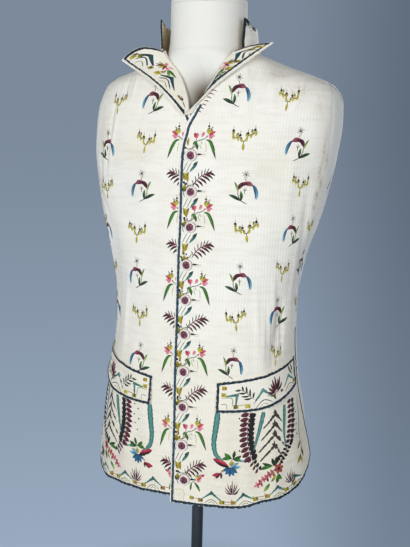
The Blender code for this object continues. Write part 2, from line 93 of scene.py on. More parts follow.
# The front edge of each front: the lapped edge up to the V, then the neckline.
EDGE_COLUMNS = ("height", "over", "under")
FRONT_EDGES = (
    (0.250, -0.0195, -0.0140),
    (0.400, -0.0165, -0.0140),
    (0.550, -0.0185, -0.0140),
    (0.700, -0.0180, -0.0140),
    (0.780, -0.0190, -0.0140),
    (0.830, -0.0200, -0.0110),
    (0.872, -0.0165, 0.0025),
    (0.885, -0.0105, 0.0105),
    (0.905, -0.0015, 0.0165),
    (0.925, 0.0080, 0.0245),
    (0.945, 0.0195, 0.0340),
    (0.965, 0.0345, 0.0450),
    (0.986, 0.0600, 0.0620),
)
LAP_FULL, LAP_GONE = 0.024, 0.064  # girths between which the upper front comes down to the skin
LAP_FADES = 0.930  # height above which the upper front comes down to the skin along the neckline

# How far the armhole cuts in from the side line, on the left and right fronts and on the back.
ARMHOLE_COLUMNS = ("height", "left", "right", "back")
ARMHOLE = (
    (0.776, 0.0000, 0.0000, 0.0000),
    (0.786, 0.0150, 0.0200, 0.0090),
    (0.802, 0.0250, 0.0380, 0.0150),
    (0.830, 0.0370, 0.0560, 0.0200),
    (0.865, 0.0450, 0.0680, 0.0200),
    (0.900, 0.0450, 0.0680, 0.0160),
    (0.925, 0.0360, 0.0500, 0.0100),
    (0.940, 0.0180, 0.0230, 0.0050),
    (0.9465, 0.0000, 0.0000, 0.0000),
)

# The hem, by share of the way from the centre line to the side.
HEM_COLUMNS = ("share", "left", "right", "back")
HEM = (
    (0.00, 0.2750, 0.2850, 0.2880),
    (0.40, 0.2750, 0.2842, 0.2880),
    (0.55, 0.2840, 0.2842, 0.2880),
    (0.68, 0.2895, 0.2856, 0.2900),
    (0.80, 0.3015, 0.2908, 0.2975),
    (0.90, 0.3190, 0.3015, 0.3120),
    (1.00, 0.3400, 0.3320, 0.3330),
)
VENT_SPREAD = 0.014  # how far the back's skirt hangs inside the front's at the foot of the side vent
VENT_HANG_START = 0.55  # share of the back half's breadth at which it starts to hang inwards

# Soft folds of the cloth: ridges, or troughs with a minus rise, fading to nothing at low and at high.
# A fold that is still full at the hem has its low end as far below the hem as its high end is above.
# low, high, girth_low, girth_high, width, rise
FRONT_FOLDS = (
    (-0.06, 0.62, 0.190, 0.120, 0.016, 0.0030),
    (-0.04, 0.60, 0.126, 0.092, 0.014, 0.0020),
    (0.50, 0.72, 0.150, 0.145, 0.013, -0.0016),
    (0.08, 0.48, 0.078, 0.062, 0.015, 0.0022),
)
BACK_FOLDS = (
    (-0.08, 0.64, 0.180, 0.105, 0.018, 0.0030),
    (-0.04, 0.60, 0.100, 0.060, 0.016, 0.0024),
)
FOLDS_START, FOLDS_FULL = 0.020, 0.070  # girths between which the folds grow beside the buttons

# Lapels, from the V up: where the turned edge leaves the neckline and where the outer edge lies.
LAPEL_COLUMNS = ("root", "outer_x", "outer_y", "outer_z", "arch")
LAPELS = {
    LEFT: (
        (0.8900, -0.0110, -0.0750, 0.8870, 0.0000),
        (0.9120, 0.0125, -0.0722, 0.9110, 0.0010),
        (0.9340, 0.0400, -0.0670, 0.9375, 0.0020),
        (0.9550, 0.0680, -0.0580, 0.9605, 0.0030),
        (0.9720, 0.0930, -0.0460, 0.9810, 0.0035),
        (0.9845, 0.1135, -0.0340, 0.9980, 0.0030),
    ),
    RIGHT: (
        (0.8900, -0.0160, -0.0740, 0.8880, 0.0000),
        (0.9120, -0.0365, -0.0715, 0.9105, 0.0010),
        (0.9340, -0.0610, -0.0640, 0.9310, 0.0025),
        (0.9550, -0.0880, -0.0530, 0.9480, 0.0045),
        (0.9720, -0.1130, -0.0400, 0.9610, 0.0080),
        (0.9845, -0.1360, -0.0300, 0.9735, 0.0150),
    ),
}

LAPEL_INSET = 0.0006  # how far inside the neckline the lapel's root lies
ARCH_DIRECTION = (0.0, -0.6, 0.8)  # the way a lapel bulges between root and outer edge

# Pocket flaps, by girth from the centre line: heights of the upper and of the lower edge.
FLAP_COLUMNS = ("girth", "upper", "lower")
FLAP = (
    (0.055, 0.4720, 0.4255),
    (0.085, 0.4765, 0.4265),
    (0.120, 0.4830, 0.4300),
    (0.155, 0.4920, 0.4400),
    (0.180, 0.5000, 0.4520),
    (0.198, 0.5060, 0.4620),
)
FLAP_LIFT = 0.0035  # the free lower edge stands off by this much more than the upper one

# Buttons, by height and girth
BUTTONS = (
    (0.8270, -0.0018),
    (0.7715, 0.0020),
    (0.7165, 0.0028),
    (0.6570, 0.0000),
    (0.6010, -0.0005),
    (0.5460, -0.0005),
    (0.4860, 0.0012),
    (0.4294, 0.0018),
    (0.3684, 0.0020),
    (0.3150, 0.0060),
)
BUTTON_RADIUS = 0.0092
BUTTON_RIM = 0.0016  # height of the button's widest ring
BUTTON_FOOT = 0.93  # the flat foot's share of the radius
BUTTON_LIFT = LAP_OUT + 1.5 * GAP

# Dress form and stand
FORM_LOWEST = 0.460  # height of the torso's lowest full ring
FORM_BOTTOM_ROUNDING = 0.08
NECK = ((0.984, 0.0615), (0.997, 0.0605), (1.015, 0.0600), (1.057, 0.0600))
CAP_HEIGHT = 0.016
CAP_CROWN = 0.003  # rise of the cap's crown above its rounded shoulder
CAP_ROUNDING = 0.009
POLE_RADIUS = 0.0096
BASE_RADIUS = 0.150
BASE_THICKNESS = 0.008
RIM_ROUNDING = 0.0025
HUB_RADIUS = 0.019
HUB_HEIGHT = 0.034
HUB_FILLET = 0.005

CLOTH_SHARP = math.radians(50.0)  # angle past which a cloth's edges are drawn sharp

# Mesh sizes: steps across and rows up
FRONT_FINE = (96, 290)
BACK_FINE = (64, 130)
LAPEL_FINE = (24, 84)
LAPEL_FLAT = (0.050, 0.026)  # breadth of a lapel's cloth and its length from station to station
FLAP_FINE = (72, 26)
COLLAR_FINE = (54, 14)
ARC = np.linspace(0.0, math.pi / 2.0, 121)  # points on a quarter of a section
LOWEST_LEVEL = 0.250
ROWS_BELOW_ARM = 0.62
ROW_CROWDING = 1.35
NORMAL_PROBE = 0.0015
NORMAL_REACH = 0.99


def columns(names, rows):
    """A table's columns by name."""
    return {name: np.array([row[i] for row in rows]) for i, name in enumerate(names)}


def eased(at, places, values):
    """Smooth curve through the values that never overshoots them."""
    spans = np.diff(places)
    slopes = np.diff(values) / spans
    tangents = np.zeros(len(values))
    for i in range(1, len(values) - 1):
        before, after = slopes[i - 1], slopes[i]
        if before * after > 0.0:
            tangents[i] = 2.0 * before * after / (before + after)
    tangents[0], tangents[-1] = slopes[0], slopes[-1]
    at = np.clip(at, places[0], places[-1])
    i = np.clip(np.searchsorted(places, at) - 1, 0, len(spans) - 1)
    t = (at - places[i]) / spans[i]
    rising = t * t * (3.0 - 2.0 * t)
    bend = spans[i] * (tangents[i] * t * (1 - t) ** 2 - tangents[i + 1] * t * t * (1 - t))
    return values[i] * (1.0 - rising) + values[i + 1] * rising + bend


def smooth_step(value, start, end):
    """0 up to start, 1 from end on and smooth between them."""
    t = np.clip((value - start) / (end - start), 0.0, 1.0)
    return t * t * (3.0 - 2.0 * t)


SECTION = columns(SECTION_COLUMNS, SECTIONS)
EDGE = columns(EDGE_COLUMNS, FRONT_EDGES)
ARM = columns(ARMHOLE_COLUMNS, ARMHOLE)
HEMLINE = columns(HEM_COLUMNS, HEM)


def section_value(name, height):
    """One of the section's measures at each height."""
    return eased(height, SECTION["height"], SECTION[name])


def quarter(height, half):
    """Girth, x and y along a quarter of the section at each height, from the centre line to the side."""
    height = np.atleast_1d(height)
    power = (2.0 / section_value("square", height))[:, None]
    centre = section_value("centre", height)[:, None]
    depth = section_value(half, height)[:, None] - centre
    x = section_value("half_width", height)[:, None] * np.sin(ARC) ** power
    y = centre + depth * np.cos(ARC).clip(0.0) ** power
    pieces = np.hypot(np.diff(x, axis=1), np.diff(y, axis=1))
    girth = np.concatenate((np.zeros((len(height), 1)), np.cumsum(pieces, axis=1)), axis=1)
    return girth, x, y


def side_girth(height, half):
    """Girth from the centre line to the side at each height."""
    return quarter(height, half)[0][:, -1]


def skin(height, girth, half):
    """Points of the skin, for arrays of heights and of signed girths from the centre line."""
    girths, x, y = quarter(height, half)
    reach = np.abs(girth)[:, None]
    i = np.clip((girths < reach).sum(axis=1), 1, len(ARC) - 1)
    rows = np.arange(len(i))
    start, end = girths[rows, i - 1], girths[rows, i]
    t = (reach[:, 0] - start) / (end - start)
    across = x[rows, i - 1] * (1 - t) + x[rows, i] * t
    depth = y[rows, i - 1] * (1 - t) + y[rows, i] * t
    side = np.where(np.asarray(girth) < 0.0, -1.0, 1.0)
    return np.stack((section_value("shift", height) + side * across, depth, height), axis=1)


def skin_normal(height, girth, half):
    """Outward directions of the skin."""
    share = np.clip(girth / side_girth(height, half), -NORMAL_REACH, NORMAL_REACH)
    above, below = height + NORMAL_PROBE, height - NORMAL_PROBE
    up = skin(above, share * side_girth(above, half), half)
    down = skin(below, share * side_girth(below, half), half)
    inner = share * side_girth(height, half)
    ahead = skin(height, inner + NORMAL_PROBE, half)
    behind = skin(height, inner - NORMAL_PROBE, half)
    normal = np.cross(ahead - behind, up - down)
    if half == BACK:
        normal = -normal
    return normal / np.linalg.norm(normal, axis=1)[:, None]


def laid(height, girth, half, out):
    """Points at a distance out from the skin."""
    shape = np.shape(height)
    height, girth = np.ravel(height), np.ravel(girth)
    out = np.broadcast_to(out, shape).ravel()
    points = skin(height, girth, half) + skin_normal(height, girth, half) * out[:, None]
    return points.reshape(shape + (3,))


def fold_rise(height, girth, folds):
    """Height of the soft folds at each place; girth is counted from the centre line."""
    total = np.zeros(np.shape(height))
    for low, high, girth_low, girth_high, width, rise in folds:
        t = np.clip((height - low) / (high - low), 0.0, 1.0)
        middle = girth_low + (girth_high - girth_low) * t
        total += rise * np.sin(math.pi * t) * np.exp(-(((girth - middle) / width) ** 2))
    return total


def front_out(side, height, girth):
    """How far a front's outer face stands out from the skin; girth is minus past the centre line."""
    out = fold_rise(height, girth, FRONT_FOLDS) * smooth_step(girth, FOLDS_START, FOLDS_FULL)
    if side == LEFT:
        lap = LAP_OUT * (1.0 - smooth_step(girth, LAP_FULL, LAP_GONE))
        out = out + lap * (1.0 - smooth_step(height, LAP_FADES, COLLAR_SEAM))
    return out


def panel_levels(along):
    """Levels of a panel's rows: even up to the underarm, then closer towards the collar seam."""
    below = int(along * ROWS_BELOW_ARM)
    lower = np.linspace(LOWEST_LEVEL, UNDERARM, below + 1)
    t = np.linspace(0.0, 1.0, along - below + 1)[1:]
    upper = UNDERARM + (COLLAR_SEAM - UNDERARM) * (1.0 - (1.0 - t) ** ROW_CROWDING)
    return np.concatenate((lower, upper))


def panel_heights(hem, size):
    """Heights and shares of a panel's points; the rows below the underarm stretch down to the hem."""
    across, along = size
    share = np.broadcast_to(np.linspace(0.0, 1.0, across + 1)[None, :], (along + 1, across + 1))
    hem_height = eased(share, HEMLINE["share"], HEMLINE[hem])
    level = panel_levels(along)[:, None]
    climb = (level - LOWEST_LEVEL) / (UNDERARM - LOWEST_LEVEL)
    return np.where(climb < 1.0, hem_height + (UNDERARM - hem_height) * climb, level), share


def side_limit(height, half, armhole):
    """Girth at which a panel ends: at the side line, or at its armhole."""
    side_line = side_girth(height.ravel(), half).reshape(height.shape)
    return side_line - eased(height, ARM["height"], ARM[armhole]) - SEAM_ALLOWANCE


def front_grid(side, size):
    """Heights and girths of a front's points, from its front edge round to the side."""
    word = SIDES[side]
    height, share = panel_heights(word, size)
    start = front_edge(side, height)
    return height, start + (side_limit(height, FRONT, word) - start) * share


def front_edge(side, height):
    """Girth of a front's edge: the lap below the V, the neckline above it."""
    return eased(height, EDGE["height"], EDGE["over"] if side == LEFT else EDGE["under"])


# Finer creases of the worn cloth than the solids carry, on one side or the other.
# side, low, high, girth_low, girth_high, width, rise
FRONT_CREASES = (
    (LEFT, 0.478, 0.640, 0.118, 0.110, 0.0050, 0.0010),
    (LEFT, 0.486, 0.610, 0.132, 0.128, 0.0036, -0.0010),
    (LEFT, 0.490, 0.660, 0.147, 0.139, 0.0050, 0.0012),
    (LEFT, 0.500, 0.620, 0.162, 0.158, 0.0038, -0.0011),
    (LEFT, 0.560, 0.730, 0.176, 0.182, 0.0060, 0.0010),
    (LEFT, 0.660, 0.800, 0.185, 0.186, 0.0070, -0.0011),
    (LEFT, 0.700, 0.860, 0.150, 0.158, 0.0080, 0.0006),
    (LEFT, 0.466, 0.625, 0.122, 0.136, 0.0100, 0.0017),
    (LEFT, 0.474, 0.600, 0.141, 0.152, 0.0080, -0.0014),
    (LEFT, 0.860, 0.975, 0.092, 0.078, 0.0080, -0.0008),
    (LEFT, 0.905, 0.975, 0.066, 0.072, 0.0036, 0.0007),
    (LEFT, 0.900, 0.972, 0.078, 0.090, 0.0040, -0.0008),
    (LEFT, 0.896, 0.966, 0.092, 0.112, 0.0036, 0.0008),
    (LEFT, 0.902, 0.960, 0.112, 0.134, 0.0044, -0.0009),
    (LEFT, 0.884, 0.950, 0.142, 0.158, 0.0042, 0.0008),
    (LEFT, 0.880, 0.960, 0.118, 0.104, 0.0060, 0.0007),
    (RIGHT, 0.480, 0.650, 0.124, 0.115, 0.0055, 0.0009),
    (RIGHT, 0.495, 0.625, 0.150, 0.146, 0.0042, -0.0010),
    (RIGHT, 0.560, 0.760, 0.168, 0.176, 0.0060, 0.0011),
    (RIGHT, 0.770, 0.935, 0.166, 0.146, 0.0036, -0.0011),
    (RIGHT, 0.790, 0.925, 0.157, 0.137, 0.0040, 0.0008),
    (RIGHT, 0.745, 0.850, 0.186, 0.176, 0.0044, -0.0012),
    (RIGHT, 0.860, 0.970, 0.100, 0.084, 0.0080, -0.0007),
    (RIGHT, 0.895, 0.968, 0.120, 0.112, 0.0040, 0.0008),
    (RIGHT, 0.905, 0.962, 0.134, 0.130, 0.0040, -0.0008),
    (RIGHT, 0.745, 0.800, 0.158, 0.196, 0.0050, 0.0010),
    (RIGHT, 0.730, 0.775, 0.162, 0.200, 0.0040, -0.0010),
)
BACK_CREASES = (
    (LEFT, 0.560, 0.740, 0.150, 0.172, 0.0060, 0.0010),
    (LEFT, 0.640, 0.820, 0.178, 0.190, 0.0055, -0.0011),
    (LEFT, 0.820, 0.940, 0.120, 0.092, 0.0080, 0.0010),
    (LEFT, 0.470, 0.650, 0.042, 0.034, 0.0070, 0.0009),
    (LEFT, 0.300, 0.520, 0.132, 0.120, 0.0080, -0.0012),
    (RIGHT, 0.540, 0.720, 0.142, 0.166, 0.0065, 0.0010),
    (RIGHT, 0.660, 0.830, 0.170, 0.186, 0.0050, -0.0010),
    (RIGHT, 0.810, 0.950, 0.132, 0.100, 0.0070, 0.0009),
    (RIGHT, 0.450, 0.610, 0.052, 0.040, 0.0080, 0.0010),
    (RIGHT, 0.290, 0.500, 0.118, 0.112, 0.0075, -0.0011),
)
CREASES_START, CREASES_FULL = 0.034, 0.070  # girths between which the creases grow beside the buttons
CREASE_DEPTH = 2.0
LIMPNESS = 0.00044  # height of the slow undulation of old silk
PUCKER = 0.00044  # height of the fine level puckers beside the buttons and round the skirt
PUCKER_PITCH = 0.0118
PUCKER_ZONE = (0.430, 0.640)  # heights between which the puckers grow fainter
COLLAR_DIP = 0.0105  # how far the collar's top sinks behind its front corners
COLLAR_DIP_RUN = {LEFT: (0.001, 0.024, 0.062, 0.105), RIGHT: (0.004, 0.074, 0.082, 0.120)}  # girths behind
COLLAR_SIDE = 0.118  # girth from either centre line to the collar's sides
COLLAR_RIPPLE = 0.0006  # height of the soft waves along the collar's top

# Old stains by girth and height on a front, and the painted shade of the gathers high on the shoulder:
# breadth, height and strength of each.
# side, girth, height, broad, tall, strength
STAINS_AND_SHADE = (
    (LEFT, 0.206, 0.838, 0.004, 0.026, 0.52),
    (LEFT, 0.215, 0.824, 0.004, 0.013, 0.62),
    (LEFT, 0.203, 0.806, 0.003, 0.012, 0.72),
    (LEFT, 0.209, 0.788, 0.003, 0.009, 0.90),
    (LEFT, 0.204, 0.770, 0.004, 0.007, 0.84),
    # The rows at heights 0.950 and 0.928, high on the shoulder, paint the shade of the gathers beside the
    # neck; the others are stains.
    (LEFT, 0.118, 0.950, 0.016, 0.007, 0.34),
    (LEFT, 0.201, 0.752, 0.003, 0.008, 0.66),
    (LEFT, 0.150, 0.928, 0.022, 0.011, 0.28),
    (LEFT, 0.186, 0.905, 0.010, 0.020, 0.20),
    (LEFT, 0.170, 0.640, 0.030, 0.040, 0.16),
    (LEFT, 0.100, 0.390, 0.034, 0.040, 0.10),
    (LEFT, 0.075, 0.325, 0.036, 0.024, 0.14),
    (LEFT, 0.205, 0.360, 0.014, 0.040, 0.32),
    (LEFT, 0.120, 0.345, 0.080, 0.060, 0.13),
    (LEFT, 0.145, 0.535, 0.036, 0.045, 0.16),
    (RIGHT, 0.140, 0.330, 0.060, 0.055, 0.18),
    (RIGHT, 0.150, 0.540, 0.040, 0.040, 0.10),
    (RIGHT, 0.190, 0.770, 0.010, 0.030, 0.40),
    (RIGHT, 0.178, 0.850, 0.007, 0.040, 0.30),
    (RIGHT, 0.090, 0.820, 0.016, 0.012, 0.14),
    (RIGHT, 0.110, 0.330, 0.040, 0.022, 0.16),
    (RIGHT, 0.060, 0.300, 0.030, 0.016, 0.14),
)


def crease_rise(side, height, girth, creases):
    """Height of the finer creases of one side at each place."""
    total = np.zeros(np.shape(height))
    for crease_side, low, high, girth_low, girth_high, width, rise in creases:
        if crease_side != side:
            continue
        t = np.clip((height - low) / (high - low), 0.0, 1.0)
        middle = girth_low + (girth_high - girth_low) * t
        total += CREASE_DEPTH * rise * np.sin(math.pi * t) ** 1.3 * np.exp(-(((girth - middle) / width) ** 2))
    return total


def limp(side, height, girth):
    """The slow undulation of soft old cloth, from waves that never fall into step."""
    a = np.sin(61.0 * girth + 23.0 * height + side * 1.7)
    b = np.sin(97.0 * girth - 41.0 * height + side * 0.6)
    c = np.sin(37.0 * height + 53.0 * girth * side + 2.0)
    wander = 3.1 * np.sin(31.0 * girth + side + 9.0 * height)
    wander = wander + 2.6 * np.sin(23.0 * height + 27.0 * girth * side)
    level = np.sin(2.0 * math.pi * height / PUCKER_PITCH + wander)
    patchy = np.sin(49.0 * girth * side + 33.0 * height) + 0.8 * np.sin(71.0 * height - 38.0 * girth + side)
    tall = PUCKER * (1.0 - 0.80 * smooth_step(height, *PUCKER_ZONE)) * np.clip(0.35 + 0.6 * patchy, 0.0, 1.3)
    return LIMPNESS * (a + 0.7 * b + 0.8 * c) + tall * level


def front_cloth(side, girth, height, lift=0.0):
    """Places on a worn front, a lift out from its outer face."""
    grown = smooth_step(girth, CREASES_START, CREASES_FULL)
    fine = (crease_rise(side, height, girth, FRONT_CREASES) + limp(side, height, girth)) * grown
    return laid(height, side * girth, FRONT, front_out(side, height, girth) + fine + lift)


def back_cloth(side, girth, height, share):
    """Places on a worn back half."""
    below_vent = smooth_step(VENT_TOP - height, 0.0, VENT_TOP - LOWEST_LEVEL)
    hang = VENT_SPREAD * below_vent * smooth_step(share, VENT_HANG_START, 1.0)
    fine = crease_rise(side, height, girth, BACK_CREASES) + limp(side, height, girth + 0.3)
    fine = fine * smooth_step(girth, 0.004, 0.020)
    return laid(height, side * girth, BACK, fold_rise(height, girth, BACK_FOLDS) - hang + fine)


def flap_limits(girth):
    """Heights of a pocket flap's lower and upper edges at each girth."""
    rows = columns(FLAP_COLUMNS, FLAP)
    lower = eased(girth, rows["girth"], rows["lower"])
    return lower, eased(girth, rows["girth"], rows["upper"])


def flap_cloth(side, girth, height, lift=0.0):
    """Places on a pocket flap, which lies on its front and stands off a little at its lower edge."""
    lower, upper = flap_limits(girth)
    share = (height - lower) / (upper - lower)
    stand = STEP_OUT + GAP + FLAP_LIFT * (1.0 - np.clip(share, 0.0, 1.0)) ** 2
    return front_cloth(side, girth, height, stand + lift)


def lapel_cloth(side, share, station, lift=0.0):
    """Places on a lapel, by share of the way from root to outer edge and by station up from the V."""
    shape = np.shape(share)
    share, station = np.ravel(share), np.ravel(station)
    lift = np.broadcast_to(lift, shape).ravel()

    def sheet(across, up):
        rows = columns(LAPEL_COLUMNS, LAPELS[side])
        places = np.arange(len(LAPELS[side]), dtype=float)
        height = eased(up, places, rows["root"])
        girth = front_edge(side, height) + LAPEL_INSET
        root = laid(height, side * girth, FRONT, front_out(side, height, girth) + STEP_OUT + GAP)
        outer = np.stack([eased(up, places, rows[name]) for name in LAPEL_COLUMNS[1:4]], axis=1)
        arch = eased(up, places, rows["arch"]) * np.sin(math.pi * np.clip(across, 0.0, 1.0))
        points = root * (1.0 - across)[:, None] + outer * across[:, None]
        return points + arch[:, None] * np.array(ARCH_DIRECTION)

    step = 0.01
    low, high = np.clip(station, 0.15, 4.9) - step, np.clip(station, 0.15, 4.9) + step
    ahead = sheet(share + step, station) - sheet(share - step, station)
    normal = np.cross(ahead, sheet(share, high) - sheet(share, low)) * side
    normal /= np.linalg.norm(normal, axis=1)[:, None]
    return (sheet(share, station) + normal * lift[:, None]).reshape(shape + (3,))


def collar_top(side, half, girth):
    """Height of the collar's top edge, which sinks a little behind each front corner."""
    low, full, high, gone = COLLAR_DIP_RUN[side]
    behind = (girth if half == FRONT else 2.0 * COLLAR_SIDE - girth) - COLLAR_START
    return COLLAR_TOP - COLLAR_DIP * smooth_step(behind, low, full) * (1.0 - smooth_step(behind, high, gone))


def collar_cloth(side, half, girth, height, lift=0.0):
    """Places on the standing collar, whose front ends lean out."""
    lean = 0.0
    if half == FRONT:
        reach = side_girth(np.ravel(height), half).reshape(np.shape(height))
        share = (girth - COLLAR_START) / (reach - COLLAR_START)
        lean = COLLAR_FLARE * smooth_step(height, COLLAR_SEAM, COLLAR_TOP) * (1.0 - share)
    return laid(height, side * girth, half, lean + lift)


# Meshes ------------------------------------------------------------------------------------------

def active(thing):
    """Makes one object the only one selected and the active one."""
    bpy.ops.object.select_all(action="DESELECT")
    thing.select_set(True)
    bpy.context.view_layer.objects.active = thing


def new_object(name, mesh, *materials):
    """An object in the scene with its mesh and materials."""
    thing = bpy.data.objects.new(name, mesh)
    bpy.context.scene.collection.objects.link(thing)
    for material in materials:
        thing.data.materials.append(material)
    return thing


def finished(piece, node=None):
    """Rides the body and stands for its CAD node."""
    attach(piece, "root")
    if node:
        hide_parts(node)
    return piece


def steps_of(path):
    """Distances from each point of a path to the next."""
    return np.linalg.norm(np.diff(path, axis=0), axis=1)


def run_of(path):
    """Distance along a path to each of its points."""
    return np.concatenate(((0.0,), np.cumsum(steps_of(path))))


def ahead_of(path):
    """Unit directions along a path."""
    ahead = np.gradient(path, axis=0)
    return ahead / np.linalg.norm(ahead, axis=1)[:, None]


def left_of(ahead):
    """Flat directions, turned a quarter to the left."""
    return np.stack((-ahead[:, 1], ahead[:, 0]), axis=1)


def ring_faces(rows, sides):
    """Faces between rings of equally many points."""
    faces = []
    for low in range(0, (rows - 1) * sides, sides):
        for i in range(sides):
            j = (i + 1) % sides
            faces.append((low + i, low + j, low + sides + j, low + sides + i))
    return faces


def grid_faces(rows, steps, flipped):
    """Faces of a sheet with so many rows of so many points."""
    corner = (np.arange(rows - 1)[:, None] * steps + np.arange(steps - 1)[None, :]).ravel()
    faces = np.stack((corner, corner + 1, corner + steps + 1, corner + steps), axis=1)
    return faces[:, ::-1] if flipped else faces


def mark(mesh, name, values, kind="FLOAT", field="value"):
    """Stores a value for each vertex of a mesh."""
    layer = mesh.attributes.new(name, kind, "POINT")
    layer.data.foreach_set(field, values.astype(np.float32).ravel())


def unroll(mesh, name, flat):
    """Gives every corner of a mesh its vertex's place in a flat layout."""
    corners = np.empty(len(mesh.loops), dtype=np.int32)
    mesh.loops.foreach_get("vertex_index", corners)
    mesh.uv_layers.new(name=name).data.foreach_set("uv", flat[corners].astype(np.float32).ravel())


def cloth_shell(name, points, flat, materials, flipped=False, soil_and_shade=None):
    """A wall of cloth whose outer face is the grid; flat gives each point's place in the cloth."""
    rows, steps = points.shape[:2]
    mesh = bpy.data.meshes.new(name)
    mesh.from_pydata(points.reshape(-1, 3).tolist(), [], grid_faces(rows, steps, flipped).tolist())
    unroll(mesh, "cloth", flat.reshape(-1, 2))
    mark(mesh, "soil_and_shade", np.zeros(rows * steps) if soil_and_shade is None else soil_and_shade)
    piece = new_object(name, mesh, *materials)
    wall = piece.modifiers.new("wall", "SOLIDIFY")
    wall.thickness = CLOTH
    wall.offset = -1.0
    wall.use_even_offset = True
    wall.material_offset = len(materials) - 1
    active(piece)
    bpy.ops.object.modifier_apply(modifier="wall")
    piece.data.shade_smooth()
    piece.data.set_sharp_from_angle(angle=CLOTH_SHARP)
    return piece


def soil_and_shade_of(side, girth, height):
    """How stained a front is at each place, with the painted shade of the gathers on the shoulder."""
    soil_and_shade = np.zeros(np.shape(height))
    for stain_side, at_girth, at_height, broad, tall, strength in STAINS_AND_SHADE:
        if stain_side == side:
            reach = ((girth - at_girth) / broad) ** 2 + ((height - at_height) / tall) ** 2
            soil_and_shade = np.maximum(soil_and_shade, strength * np.exp(-reach))
    return soil_and_shade


def make_cloth():
    """The garment's panels, each a wall on the solids' skin."""
    silk, linen, lining = MATERIAL["silk"], MATERIAL["linen"], MATERIAL["lining"]
    for side, word in SIDES.items():
        flipped = side == RIGHT
        height, girth = front_grid(side, FRONT_FINE)
        piece = cloth_shell(f"silk_front_{word}", front_cloth(side, girth, height),
                            np.stack((side * girth, height), axis=-1), (silk, lining), flipped,
                            soil_and_shade_of(side, girth, height))
        finished(piece, f"front_{word}")

        height, share = panel_heights("back", BACK_FINE)
        girth = SEAM_ALLOWANCE + (side_limit(height, BACK, "back") - SEAM_ALLOWANCE) * share
        piece = cloth_shell(f"linen_back_{word}", back_cloth(side, girth, height, share),
                            np.stack((side * girth, height), axis=-1), (linen, lining), not flipped)
        finished(piece, f"back_{word}")

        share, station = np.meshgrid(np.linspace(0.0, 1.0, LAPEL_FINE[0] + 1),
                                     np.linspace(0.0, 5.0, LAPEL_FINE[1] + 1))
        flat = np.stack((share * LAPEL_FLAT[0], station * LAPEL_FLAT[1]), axis=-1)
        piece = cloth_shell(f"silk_lapel_{word}", lapel_cloth(side, share, station), flat, (silk, silk),
                            flipped)
        finished(piece, f"lapel_{word}")

        girth = np.linspace(FLAP[0][0], FLAP[-1][0], FLAP_FINE[0] + 1)[None, :]
        lower, upper = flap_limits(girth)
        height = lower + (upper - lower) * np.linspace(0.0, 1.0, FLAP_FINE[1] + 1)[:, None]
        girth = np.broadcast_to(girth, height.shape)
        piece = cloth_shell(f"silk_flap_{word}", flap_cloth(side, girth, height),
                            np.stack((side * girth, height), axis=-1), (silk, lining), flipped)
        finished(piece, f"pocket_flap_{word}")
    make_collar()


def make_collar():
    """The standing collar, from one front end round the back to the other, with a buff lining."""
    quarter_steps, rows = COLLAR_FINE
    low, middle = COLLAR_SEAM + GAP, np.array([(COLLAR_SEAM + COLLAR_TOP) / 2.0])
    strips, flats, along = [], [], 0.0
    for side, half in ((RIGHT, FRONT), (RIGHT, BACK), (LEFT, BACK), (LEFT, FRONT)):
        steps = quarter_steps // 3 if half == FRONT else quarter_steps
        t = np.linspace(0.0, 1.0, steps + 1)[None, :]
        share = t if (half == FRONT) == (side == RIGHT) else 1.0 - t
        start = COLLAR_START if half == FRONT else 0.0
        top = collar_top(side, half, start + (side_girth(middle, half)[0] - start) * share)
        height = low + (top - low) * np.linspace(0.0, 1.0, rows + 1)[:, None]
        reach = side_girth(height.ravel(), half).reshape(height.shape)
        girth = start + (reach - start) * share
        ripple = COLLAR_RIPPLE * np.sin(95.0 * (along + t * 0.1))
        ripple = ripple * smooth_step(height, COLLAR_SEAM, COLLAR_TOP)
        strip = collar_cloth(side, half, girth, height, ripple)
        run = reach.mean() - start
        flat = np.stack(np.broadcast_arrays(along + t * run, height), axis=-1)
        along += run
        strips.append(strip if not strips else strip[:, 1:])
        flats.append(flat if not flats else flat[:, 1:])
    points, flat = np.concatenate(strips, axis=1), np.concatenate(flats, axis=1)
    piece = cloth_shell("silk_collar", points, flat, (MATERIAL["silk"], MATERIAL["buff_lining"]), True)
    finished(piece, "collar")


# Embroidery --------------------------------------------------------------------------------------

# Silk thread colours, as they look in daylight, 0 to 255.
THREADS = {
    "navy": (8, 24, 38),
    "petrol": (22, 64, 84),
    "slate": (58, 102, 130),
    "teal": (100, 162, 154),
    "sea": (68, 134, 128),
    "deep_teal": (18, 82, 82),
    "maroon": (88, 18, 48),
    "rose_brown": (156, 80, 96),
    "plum": (24, 8, 20),
    "pink": (224, 104, 126),
    "pale_pink": (238, 168, 178),
    "red": (184, 28, 54),
    "gold": (176, 158, 30),
    "yellow": (212, 200, 84),
    "ochre": (168, 124, 56),
    "olive": (104, 100, 22),
    "brown": (76, 50, 26),
    "green": (66, 134, 34),
    "leaf_green": (32, 90, 28),
    "dark_green": (12, 40, 24),
    "pale_green": (166, 184, 100),
    "sky": (128, 188, 208),
    "blue": (30, 104, 148),
    "grey": (62, 56, 66),
    "taupe": (68, 58, 48),
    "cream": (236, 226, 206),
}
MM = 0.001
STITCH_RUN = 1.6  # length of a line between its rows of points, in millimetres
SUNK = 0.00012  # how far the rim of a stitched shape sinks into the cloth
PADDED = 0.00050  # height of a broad satin-stitched shape over the cloth
SINGLE = 0.00036  # height of a single line of stitches
# Heights of stitches worked over others, from the lowest to the highest
OVER_1, OVER_2, OVER_3, OVER_4, OVER_5, OVER_6 = 0.0006, 0.0007, 0.0008, 0.0009, 0.0010, 0.0013
DEPTH = 0.80  # how much darker silk looks where its strands shade each other
SHADES = np.random.default_rng(1787)


def linear(colour):
    """A daylight colour as linear light."""
    value = np.asarray(colour, float) / 255.0
    return np.where(value <= 0.04045, value / 12.92, ((value + 0.055) / 1.055) ** 2.4)


